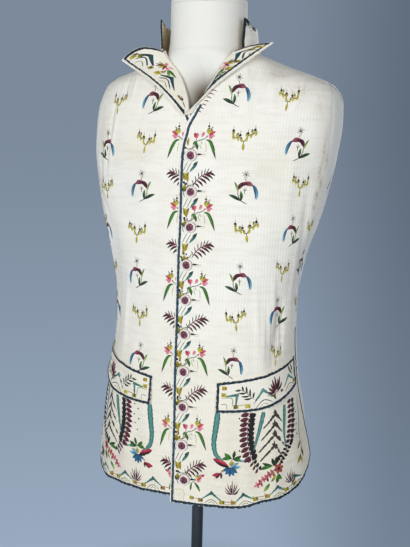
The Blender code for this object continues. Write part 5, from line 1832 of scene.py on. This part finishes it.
def cord_material():
    """The rolled white silk piping, twisted."""
    material, tree, shader = new_material("piping")
    place = tree.layout("strands")
    strands = tree.group("strands", {"Place": place, "Pitch": 1.1})
    where = tree.where()
    age = tree.group("ageing", {"Place": where, "Scale": 40.0})["Mask"]
    colour = tree.blend(tree.times(age, 0.4), solid(SILK), solid(SILK_AGED))
    tree.feed(shader, {
        "Base Color": colour,
        "Roughness": tree.plus(0.45, tree.times(strands["Glint"], 0.15)),
        "Normal": tree.bump(strands["Height"], 0.00025, 0.6),
    })
    return material


def button_material():
    """Button cover: a cream silk rim round a mottled, radially stitched centre, ringed with painted shade at
    its outer edge.
    """
    material, tree, shader = new_material("button_cover")
    spot = tree.marked("spot", "Vector")
    axes = tree.axes(spot)
    radius = tree.length(tree.stretch(spot, (1.0, 1.0, 0.0)))
    wander = tree.times(tree.noise(spot, 3.4, 3.0), 0.22)
    rim = tree.between(tree.plus(radius, wander), 0.74, 0.84)
    angle = tree.math("ARCTAN2", axes["Y"], axes["X"])
    rays = waves(tree, angle, 2.0 * math.pi / 26.0)
    patch = tree.between(tree.noise(spot, 2.6, 4.0), 0.44, 0.58)
    centre = tree.blend(patch, solid((76, 12, 38)), solid((172, 92, 116)))
    centre = tree.blend(tree.times(tree.between(tree.noise(spot, 5.2, 3.0), 0.53, 0.62), 0.75),
                        centre, solid((50, 18, 44)))
    cream = tree.blend(tree.times(rays, 0.25), solid((244, 240, 232)), solid((206, 196, 182)))
    # Painted shade: a darker ring round the button's outer edge, for the shade where it meets the cloth, with
    # a little brown outline of its own
    worn = tree.times(tree.between(radius, 0.86, 0.98), 0.85)
    tree.feed(shader, {
        "Base Color": tree.blend(worn, tree.blend(rim, centre, cream), solid((126, 106, 92))),
        "Roughness": tree.plus(0.42, tree.times(rays, 0.12)),
        "Sheen Weight": 0.2,
        "Normal": tree.bump(tree.plus(rays, patch), 0.00016, 0.6),
    })
    return material


def cover_material():
    """The dress form's stretched cotton cover."""
    material, tree, shader = new_material("form_cover")
    where = tree.where()
    marks = tree.group("rubbing", {"Place": where, "Scale": 9.0})
    knit = tree.group("weave", {"Place": where, "Rib Depth": 0.0, "Slub Depth": 0.5})
    seam = tree.marked("seam")
    colour = tree.blend(tree.times(marks["Mask"], 0.3), solid(COVER), solid(COVER_SHADE))
    colour = tree.blend(tree.times(seam, 0.25), colour, solid(COVER_SHADE))
    # Painted shade: the cover is darkened brown behind the V, in the deep gap under the fronts where shade
    # falls
    soil_and_shade = tree.marked("soil_and_shade")
    colour = tree.blend(soil_and_shade, colour, solid(COVER_PAINTED_SHADE))
    tree.feed(shader, {
        "Base Color": colour,
        "Roughness": tree.plus(0.72, tree.times(marks["Fine"], 0.12)),
        "Sheen Weight": 0.25,
        "Specular IOR Level": 0.25,
        "Normal": tree.bump(knit["Height"], 0.00012, 0.4),
    })
    return material


def steel_material():
    """Dark lacquered steel, rubbed and dulled in places."""
    material, tree, shader = new_material("dark_steel_finish")
    where = tree.where()
    marks = tree.group("rubbing", {"Place": where, "Scale": 16.0})
    colour = tree.blend(tree.times(marks["Mask"], 0.35), solid(STEEL), solid(STEEL_WORN))
    scratches = tree.noise(tree.stretch(where, (900.0, 900.0, 30.0)), 1.0, 2.0)
    tree.feed(shader, {
        "Base Color": colour,
        "Metallic": 0.35,
        "Roughness": tree.plus(0.36, tree.times(marks["Fine"], 0.22)),
        "Normal": tree.bump(scratches, 0.00006, 0.3),
    })
    return material


def make_materials():
    make_weave()
    make_ageing()
    make_strands()
    make_wear()
    MATERIAL["silk"] = cloth_material("ivory_silk", SILK, SILK_AGED, 0.60, 0.60, 0.50, 0.20, SILK_RELIEF,
                                      stained=True)
    MATERIAL["linen"] = cloth_material("white_linen", LINEN, LINING, 0.0, 0.9, 0.72, 0.2)
    MATERIAL["lining"] = cloth_material("linen_lining", LINING, SILK_AGED, 0.0, 0.8, 0.74, 0.15)
    MATERIAL["buff_lining"] = cloth_material("buff_lining", BUFF, LINING, 0.0, 0.7, 0.66, 0.2)
    MATERIAL["thread"] = thread_material()
    MATERIAL["piping"] = cord_material()
    MATERIAL["button"] = button_material()
    MATERIAL["cover"] = cover_material()
    MATERIAL["steel"] = steel_material()


MATERIAL = {}


# Trimmings, buttons and stand --------------------------------------------------------------------

PIPING_RADIUS = 0.0010
EDGE_PIPING_RADIUS = 0.0007  # of the finer roll down the front edges
PIPING_SUNK = 0.0006  # how far the piping's middle lies under the cloth's face
PIPING_POINTS, EDGE_POINTS, BINDING_POINTS = 110, 240, 26
LAPEL_PIPED, LAPEL_RIM = (0.05, 4.97), 0.998  # stations between which a lapel is piped, and its share
EDGE_TOP, EDGE_GAP = 0.884, 0.0004  # where the front's piping ends, and its distance in from the edge
PIPING_SIDES = 8
TUBE_END = 0.55  # how much of its radius a cord keeps at its two ends
BINDING_RADIUS = 0.0012  # dark stitching over the collar's edge
COLLAR_BOUND = 0.034  # how far back along the collar's top it runs
BUTTON_SIDES = 40
FORM_SIDES = 240
FORM_STEP = 0.0085  # height between the fine form's rings
SEAM_DEPTH = 0.0004
SEAM_WIDTH = 0.0011
NECK_SEAM = 0.988  # height of the seam round the neck's cover
NECK_BLEND = (0.945, 1.008)  # heights between which the shoulders turn into the round neck
ARM_ZONE = (0.760, 0.778, 0.945, 0.962)  # heights between which the form fills the armholes
ARM_NEAR, ARM_EDGE, ARM_FULL = 0.030, 0.0012, 0.0065  # girths before and past an armhole's edge
ARM_ROOM = 0.0006
VEE_ZONE = (0.866, 0.886, 0.918, 0.968)  # heights between which the form lies deeper behind the V
VEE_WIDTH, VEE_SINK = 0.026, 0.0095
STAND_SIDES, POLE_SIDES = 128, 48
POLE_BEVEL = 0.0008
TOUCH = 1e-5  # how close an edge lies to a height that it is said to be at
# Rings of the button's and the cap's domes: how far in each lies from the last and how far up
BUTTON_DOME = ((0.0010, 0.0016), (0.0014, 0.0010), (0.0022, 0.0005), (0.0024, 0.0002))
CAP_DOME = ((0.012, 0.0014), (0.014, 0.0009), (0.014, 0.0005), (0.010, 0.0002))
# Rings of the rounding under the torso: share of the way inwards and drop
BOTTOM_RINGS = ((0.006, 0.0035), (0.02, 0.0062))


def tube(name, path, radius, sides, material, thread=None):
    """A round cord along a path; a stitched one carries its thread's colour."""
    path = np.asarray(path, float)
    ahead = ahead_of(path)
    aside = np.cross(ahead, (0.0, 0.0, 1.0))
    aside /= np.linalg.norm(aside, axis=1)[:, None]
    above = np.cross(aside, ahead)
    turn = np.linspace(0.0, 2.0 * math.pi, sides, endpoint=False)
    thick = radius * np.ones(len(path))
    thick[[0, -1]] *= TUBE_END
    spokes = aside[:, None, :] * np.cos(turn)[:, None] + above[:, None, :] * np.sin(turn)[:, None]
    rings = path[:, None, :] + spokes * thick[:, None, None]
    faces = ring_faces(len(path), sides)
    last = (len(path) - 1) * sides
    faces.append(tuple(range(sides))[::-1])
    faces.append(tuple(range(last, last + sides)))
    mesh = bpy.data.meshes.new(name)
    mesh.from_pydata(rings.reshape(-1, 3).tolist(), [], faces)
    run = run_of(path) / MM
    flat = np.stack(np.broadcast_arrays(turn[None, :] * thick.mean() / MM, run[:, None]), axis=-1)
    unroll(mesh, "strands", flat.reshape(-1, 2))
    if thread:
        tints = np.tile((*linear(THREADS[thread]), 1.0), (len(mesh.vertices), 1))
        mark(mesh, "thread", tints, "FLOAT_COLOR", "color")
    shape = bmesh.new()
    shape.from_mesh(mesh)
    bmesh.ops.recalc_face_normals(shape, faces=shape.faces)
    shape.to_mesh(mesh)
    shape.free()
    mesh.shade_smooth()
    return finished(new_object(name, mesh, MATERIAL[material]))


def make_piping():
    """The rolled edge of each lapel and of each front's edge."""
    for side, word in SIDES.items():
        stations = np.linspace(*LAPEL_PIPED, PIPING_POINTS)
        edge = lapel_cloth(side, np.full(PIPING_POINTS, LAPEL_RIM), stations, -PIPING_SUNK)
        tube(f"piping_lapel_{word}", edge, PIPING_RADIUS, PIPING_SIDES, "piping")
        height = np.linspace(HEMLINE[word][0] + 2.0 * MM, EDGE_TOP, EDGE_POINTS)
        girth = front_edge(side, height) + EDGE_GAP
        edge = front_cloth(side, girth, height, -PIPING_SUNK)
        tube(f"piping_front_{word}", edge, EDGE_PIPING_RADIUS, PIPING_SIDES, "piping")
        rise = np.linspace(COLLAR_SEAM + 4.0 * MM, COLLAR_TOP - EDGE_GAP, BINDING_POINTS)
        along = COLLAR_START + np.linspace(0.8 * MM, COLLAR_BOUND, BINDING_POINTS)
        height = np.concatenate((rise, collar_top(side, FRONT, along)))
        girth = np.concatenate((np.full(BINDING_POINTS, COLLAR_START), along))
        thick = BINDING_RADIUS * (1.0 + 0.22 * np.sin(1.9 * np.arange(len(girth)) + side))
        edge = collar_cloth(side, FRONT, girth, height, -CLOTH / 2.0)
        tube(f"binding_collar_{word}", edge, thick, PIPING_SIDES, "thread", "navy")


def cylinder(name, sides, radius, depth, low=0.0):
    """A named upright cylinder on the pole's axis, left open in edit mode."""
    bpy.ops.object.select_all(action="DESELECT")
    bpy.ops.mesh.primitive_cylinder_add(vertices=sides, radius=radius, depth=depth,
                                        location=(0.0, 0.0, low + depth / 2.0))
    piece = bpy.context.active_object
    piece.name = name
    bpy.ops.object.transform_apply(location=True)
    bpy.ops.object.mode_set(mode="EDIT")
    return piece


def edit_select(piece, test, kind="FACE"):
    """Selects the faces or the edges of a piece in edit mode that pass a test."""
    bpy.ops.mesh.select_mode(type=kind)
    bpy.ops.mesh.select_all(action="DESELECT")
    shape = bmesh.from_edit_mesh(piece.data)
    for part in shape.faces if kind == "FACE" else shape.edges:
        part.select_set(bool(test(part)))
    bmesh.update_edit_mesh(piece.data)


def select_top(piece, height):
    """Selects the edges of a piece in edit mode that lie at the height of its top."""
    edit_select(piece, lambda edge: min(v.co.z for v in edge.verts) > height - TOUCH, "EDGE")


def raise_rings(rings):
    """Insets the selected faces by each width in turn and lifts them by the rise that goes with it."""
    for inset, rise in rings:
        bpy.ops.mesh.inset(thickness=inset, depth=0.0)
        bpy.ops.transform.translate(value=(0.0, 0.0, rise))


def turned_piece(piece, degrees, material, node):
    """Closes a piece that was open in edit mode and makes it a finished one, sharp past some degrees."""
    bpy.ops.object.mode_set(mode="OBJECT")
    bpy.ops.object.shade_smooth()
    piece.data.set_sharp_from_angle(angle=math.radians(degrees))
    piece.data.materials.append(MATERIAL[material])
    finished(piece, node)


def model_button():
    """A domed cloth-covered button on its back, raised from a disc by insets."""
    button = cylinder("button_model", BUTTON_SIDES, BUTTON_RADIUS * BUTTON_FOOT, BUTTON_RIM)
    edit_select(button, lambda face: face.normal.z > 0.9)
    widen = BUTTON_RADIUS / (BUTTON_RADIUS * BUTTON_FOOT)
    bpy.ops.transform.resize(value=(widen, widen, 1.0))
    raise_rings(BUTTON_DOME)
    bpy.ops.mesh.poke()
    bpy.ops.object.mode_set(mode="OBJECT")
    smooth = button.modifiers.new("smooth", "SUBSURF")
    smooth.levels = smooth.render_levels = 1
    active(button)
    bpy.ops.object.modifier_apply(modifier="smooth")
    bpy.ops.object.shade_smooth()
    places = np.empty(len(button.data.vertices) * 3, dtype=np.float32)
    button.data.vertices.foreach_get("co", places)
    mark(button.data, "spot", places / BUTTON_RADIUS, "FLOAT_VECTOR", "vector")
    return button


def make_buttons():
    """Ten buttons down the front, each turned a little differently on its shank."""
    model = model_button()
    for i, (height, along) in enumerate(BUTTONS):
        level, girth = np.array([height]), np.array([along])
        place = laid(level, girth, FRONT, BUTTON_LIFT)[0]
        normal = Vector(skin_normal(level, girth, FRONT)[0])
        turned = normal.to_track_quat("Z", "Y").to_matrix().to_4x4()
        spin = Matrix.Rotation(float(SHADES.uniform(0.0, 6.28)), 4, "Z")
        active(model)
        bpy.ops.object.duplicate()
        button = bpy.context.active_object
        button.name = f"covered_button_{i + 1:02d}"
        button.data.transform(Matrix.Translation(place.tolist()) @ turned @ spin)
        button.data.materials.clear()
        button.data.materials.append(MATERIAL["button"])
        finished(button, f"button_{i + 1:02d}")
    bpy.data.objects.remove(model, do_unlink=True)


def armhole_room(height, girth, side, half, room):
    """How far the form lies under the skin: close to the cloth at an armhole and full within it."""
    level = np.full(len(girth), height)
    word = "back" if half == BACK else SIDES[side]
    limit = side_limit(level, half, word)
    low, low_full, high_full, high = ARM_ZONE
    zone = smooth_step(height, low, low_full) * (1.0 - smooth_step(height, high_full, high))
    close = smooth_step(girth, limit - ARM_NEAR, limit) * zone
    full = smooth_step(girth, limit + ARM_EDGE, limit + ARM_FULL) * zone
    under = room + (STEP_OUT + GAP - room) * close
    return under + (ARM_ROOM - under) * full


def behind_vee(height, girth, half):
    """1 at the foot of the V's opening, fading to 0 round it."""
    if half == BACK:
        return np.zeros(len(girth))
    low, low_full, high_full, high = VEE_ZONE
    zone = smooth_step(height, low, low_full) * (1.0 - smooth_step(height, high_full, high))
    return zone * np.exp(-((girth / VEE_WIDTH) ** 2))


def fine_ring(height, room):
    """A ring of the form under the skin, counter-clockwise from the wearer's left, with its seams and the
    painted shade behind the V.
    """
    t = np.linspace(0.0, 1.0, FORM_SIDES // 4 + 1)[:-1]
    level = np.full(len(t), height)
    runs, seams, vee_shades = [], [], []
    quarters = ((LEFT, BACK, 1.0 - t), (RIGHT, BACK, t), (RIGHT, FRONT, 1.0 - t), (LEFT, FRONT, t))
    for side, half, share in quarters:
        reach = side_girth(level, half)
        girth = share * reach
        near = np.minimum(girth, np.minimum(np.abs(girth - 0.45 * reach), reach - girth))
        seam = np.exp(-((near / SEAM_WIDTH) ** 2))
        vee = behind_vee(height, girth, half)
        under = armhole_room(height, girth, side, half, room) + VEE_SINK * vee
        runs.append(laid(level, side * girth, half, -under - SEAM_DEPTH * seam))
        seams.append(seam)
        vee_shades.append(vee)
    return np.concatenate(runs), np.concatenate(seams), np.concatenate(vee_shades)


def make_form():
    """The torso under the cloth, its flat bottom and its straight neck."""
    torso = np.arange(FORM_LOWEST, NECK_BLEND[0], FORM_STEP)
    neck = np.arange(NECK_BLEND[0], NECK[-1][0], FORM_STEP / 2.0)
    rings, seams, vee_shades = [], [], []
    turn = np.arange(FORM_SIDES) * 2.0 * math.pi / FORM_SIDES
    for height in np.concatenate((torso, neck, (NECK[-1][0],))):
        low = min(height, NECK_BLEND[1])
        room = STEP_OUT + section_value("ease", np.array([low]))[0]
        ring, seam, soil_and_shade = fine_ring(low, room)
        radius = np.interp(height, *zip(*NECK))
        groove = math.exp(-(((height - NECK_SEAM) / SEAM_WIDTH) ** 2))
        radius -= SEAM_DEPTH * groove
        level = np.full(FORM_SIDES, height)
        round_ring = np.stack((radius * np.cos(turn), radius * np.sin(turn), level), axis=1)
        share = float(smooth_step(height, *NECK_BLEND))
        rings.append(ring * (1.0 - share) + round_ring * share)
        seams.append(np.maximum(seam * (1.0 - share), groove))
        vee_shades.append(soil_and_shade * (1.0 - share))
    lowest, none = rings[0], np.zeros(FORM_SIDES)
    middle = lowest.mean(axis=0)
    for share, drop in (*BOTTOM_RINGS, (FORM_BOTTOM_ROUNDING, lowest[0, 2] - FORM_BOTTOM)):
        ring = lowest + (middle - lowest) * share
        ring[:, 2] = lowest[:, 2] - drop
        rings.insert(0, ring)
        seams.insert(0, none)
        vee_shades.insert(0, none)
    count = len(rings)
    faces = [tuple(range(FORM_SIDES))[::-1]] + ring_faces(count, FORM_SIDES)
    faces.append(tuple(range((count - 1) * FORM_SIDES, count * FORM_SIDES)))
    mesh = bpy.data.meshes.new("form")
    mesh.from_pydata(np.concatenate(rings).tolist(), [], faces)
    for word, values in (("seam", seams), ("soil_and_shade", vee_shades)):
        mark(mesh, word, np.concatenate(values))
    mesh.shade_smooth()
    piece = new_object("form", mesh, MATERIAL["cover"])
    piece.data.set_sharp_from_angle(angle=math.radians(60.0))
    finished(piece, "dress_form")


def make_cap():
    """A shallow cap on the neck with a soft round shoulder."""
    height, radius = NECK[-1]
    seam = height + GAP
    cap = cylinder("cap", STAND_SIDES, radius, CAP_HEIGHT - CAP_CROWN, seam)
    select_top(cap, seam + CAP_HEIGHT - CAP_CROWN)
    bpy.ops.mesh.bevel(offset=CAP_ROUNDING, segments=6, affect="EDGES")
    edit_select(cap, lambda face: face.normal.z > 0.99 and len(face.verts) > 6)
    raise_rings(CAP_DOME)
    turned_piece(cap, 40.0, "cover", "neck_cap")


def make_base():
    """The floor plate with its rounded rim and the hub that carries the pole."""
    plate = cylinder("foot_plate", STAND_SIDES, BASE_RADIUS, BASE_THICKNESS)
    select_top(plate, BASE_THICKNESS)
    bpy.ops.mesh.bevel(offset=RIM_ROUNDING, segments=4, affect="EDGES")
    edit_select(plate, lambda face: face.normal.z > 0.99 and len(face.verts) > 6)
    bpy.ops.mesh.inset(thickness=BASE_RADIUS - RIM_ROUNDING - HUB_RADIUS - HUB_FILLET, depth=0.0)
    raise_rings(((HUB_FILLET * 0.7, HUB_FILLET * 0.3), (HUB_FILLET * 0.3, HUB_FILLET * 0.7)))
    bpy.ops.mesh.extrude_region_move(
        TRANSFORM_OT_translate={"value": (0.0, 0.0, HUB_HEIGHT - BASE_THICKNESS - HUB_FILLET)})
    bpy.ops.mesh.bevel(offset=RIM_ROUNDING, segments=3, affect="EDGES")
    turned_piece(plate, 50.0, "steel", "base")


def make_pole():
    """The tube between the hub and the form."""
    low, high = HUB_HEIGHT + GAP, FORM_BOTTOM - GAP
    pole = cylinder("upright", POLE_SIDES, POLE_RADIUS, high - low, low)
    edit_select(pole, lambda face: abs(face.normal.z) > 0.9)
    bpy.ops.mesh.bevel(offset=POLE_BEVEL, segments=2, affect="EDGES")
    turned_piece(pole, 40.0, "steel", "pole")


# Studio ------------------------------------------------------------------------------------------

CAMERA_TURN, CAMERA_TILT, CAMERA_ROLL = math.radians(18.0), math.radians(8.7), math.radians(1.36)
CAMERA_REACH, CAMERA_HEIGHT = 1.41, 0.85
CAMERA_LENS, CAMERA_SHIFT = 57.26, 0.0033
BACKDROP_DARK, BACKDROP_LIGHT = (94, 106, 122), (124, 138, 155)
BACKDROP_TURN = (-0.055, -0.245)  # sideways parts of the directions at which it is darkest and lightest
BACKDROP_DIP, BACKDROP_GAIN = (0.04, -0.47), 0.66  # downward parts between which it grows lighter
FLOOR_REACH = 24.0
LIGHTS = (
    ("key", (-0.42, -2.42, 0.93), 1.0, 35.0, (1.0, 0.99, 0.97)),
    ("fill", (1.55, -1.95, 0.92), 1.2, 23.5, (0.98, 0.99, 1.0)),
    ("side", (-2.2, 0.1, 1.0), 1.3, 4.5, (0.97, 0.985, 1.0)),
    ("behind", (0.7, 2.4, 0.95), 1.8, 22.0, (1.0, 0.99, 0.97)),
)
AMBIENT = (0.195, 0.204, 0.213, 1.0)
LIT_POINT = (0.0, 0.0, 0.68)


def make_camera():
    """The camera, turned to the wearer's left, looking a little down and rolled slightly."""
    a, p, r = CAMERA_TURN, CAMERA_TILT, CAMERA_ROLL
    forward = Vector((-math.sin(a) * math.cos(p), math.cos(a) * math.cos(p), -math.sin(p)))
    level = Vector((math.cos(a), math.sin(a), 0.0))
    upright = level.cross(forward)
    across = level * math.cos(r) + upright * math.sin(r)
    above = upright * math.cos(r) - level * math.sin(r)
    data = bpy.data.cameras.new("camera")
    data.lens = CAMERA_LENS
    data.sensor_width = 36.0
    data.shift_x = CAMERA_SHIFT
    camera = bpy.data.objects.new("camera", data)
    bpy.context.scene.collection.objects.link(camera)
    turned = Matrix((across, above, -forward)).transposed().to_4x4()
    place = (math.sin(a) * CAMERA_REACH, -math.cos(a) * CAMERA_REACH, CAMERA_HEIGHT)
    camera.matrix_world = Matrix.Translation(place) @ turned
    bpy.context.scene.camera = camera


def make_lights():
    """Large soft panels in front, at both sides and behind."""
    for name, place, size, power, colour in LIGHTS:
        data = bpy.data.lights.new(name, "AREA")
        data.size = size
        data.energy = power
        data.color = colour
        lamp = bpy.data.objects.new(name, data)
        bpy.context.scene.collection.objects.link(lamp)
        lamp.location = place
        lamp.rotation_euler = (Vector(LIT_POINT) - Vector(place)).to_track_quat("-Z", "Y").to_euler()


def backdrop(tree, direction):
    """The backdrop's colour in a direction: darker to the right and lighter towards the floor."""
    axes = tree.axes(direction)
    turned = tree.between(axes["X"], *BACKDROP_TURN[::-1])
    tone = tree.blend(turned, solid(BACKDROP_LIGHT), solid(BACKDROP_DARK))
    high, deep = BACKDROP_DIP
    low = tree.node("MapRange", {"Value": axes["Z"], "From Min": high, "From Max": deep})
    gain = tree.times(tree.math("POWER", low.outputs[0], 1.4), BACKDROP_GAIN)
    gain = tree.plus(1.0, gain)
    return tree.scaled(tone, gain)


def make_world():
    """A plain backdrop seen by the eye, and an even light for everything else."""
    world = bpy.data.worlds.new("studio")
    world.use_nodes = True
    bpy.context.scene.world = world
    tree = Tree(world.node_tree)
    seen = backdrop(tree, tree.node("TexCoord").outputs["Generated"])
    shade = world.node_tree.nodes["Background"]
    shade.inputs["Strength"].default_value = 1.0
    eye = tree.node("LightPath").outputs["Is Camera Ray"]
    tree.feed(shade, {"Color": tree.blend(eye, AMBIENT, seen)})


def make_floor():
    """A plain pale floor that runs out of sight without an edge: past the stand it glows with the backdrop's
    colour, painted light from no lamp.
    """
    bpy.ops.object.select_all(action="DESELECT")
    bpy.ops.mesh.primitive_circle_add(vertices=96, radius=FLOOR_REACH, fill_type="TRIFAN",
                                      location=(0.0, 0.0, -0.0002))
    floor = bpy.context.active_object
    floor.name = "floor"
    bpy.ops.object.transform_apply(location=True)
    material, tree, shader = new_material("pale_floor")
    where = tree.where()
    far = tree.length(where)
    # The floor's colour follows the backdrop's by its direction from the camera's place: darker to the right
    # and lighter nearer
    place = (math.sin(CAMERA_TURN) * CAMERA_REACH, -math.cos(CAMERA_TURN) * CAMERA_REACH, CAMERA_HEIGHT)
    ray = tree.node("VectorMath", {0: where, 1: place}, operation="SUBTRACT").outputs[0]
    tone = backdrop(tree, tree.node("VectorMath", {0: ray}, operation="NORMALIZE").outputs[0])
    speckle = tree.blend(tree.times(tree.noise(where, 26.0, 4.0), 0.08), tone, solid(FLOOR))
    tree.feed(shader, {"Base Color": speckle, "Roughness": 0.75, "Specular IOR Level": 0.2})
    # Painted light: from 0.16 m to 0.40 m out the floor turns into a glow of the backdrop's colour
    glow = tree.node("Emission", {"Color": tone})
    share = tree.between(far, 0.16, 0.40)
    mixed = tree.node("MixShader", {0: share, 1: shader.outputs[0], 2: glow.outputs[0]})
    tree.tree.links.new(mixed.outputs[0], material.node_tree.nodes["Material Output"].inputs["Surface"])
    floor.data.materials.append(material)


bpy.ops.object.select_all(action="DESELECT")
bpy.context.scene.view_settings.view_transform = "Standard"
make_materials()
make_cloth()
make_embroidery()
make_piping()
make_buttons()
make_form()
make_cap()
make_base()
make_pole()
make_camera()
make_lights()
make_world()
make_floor()
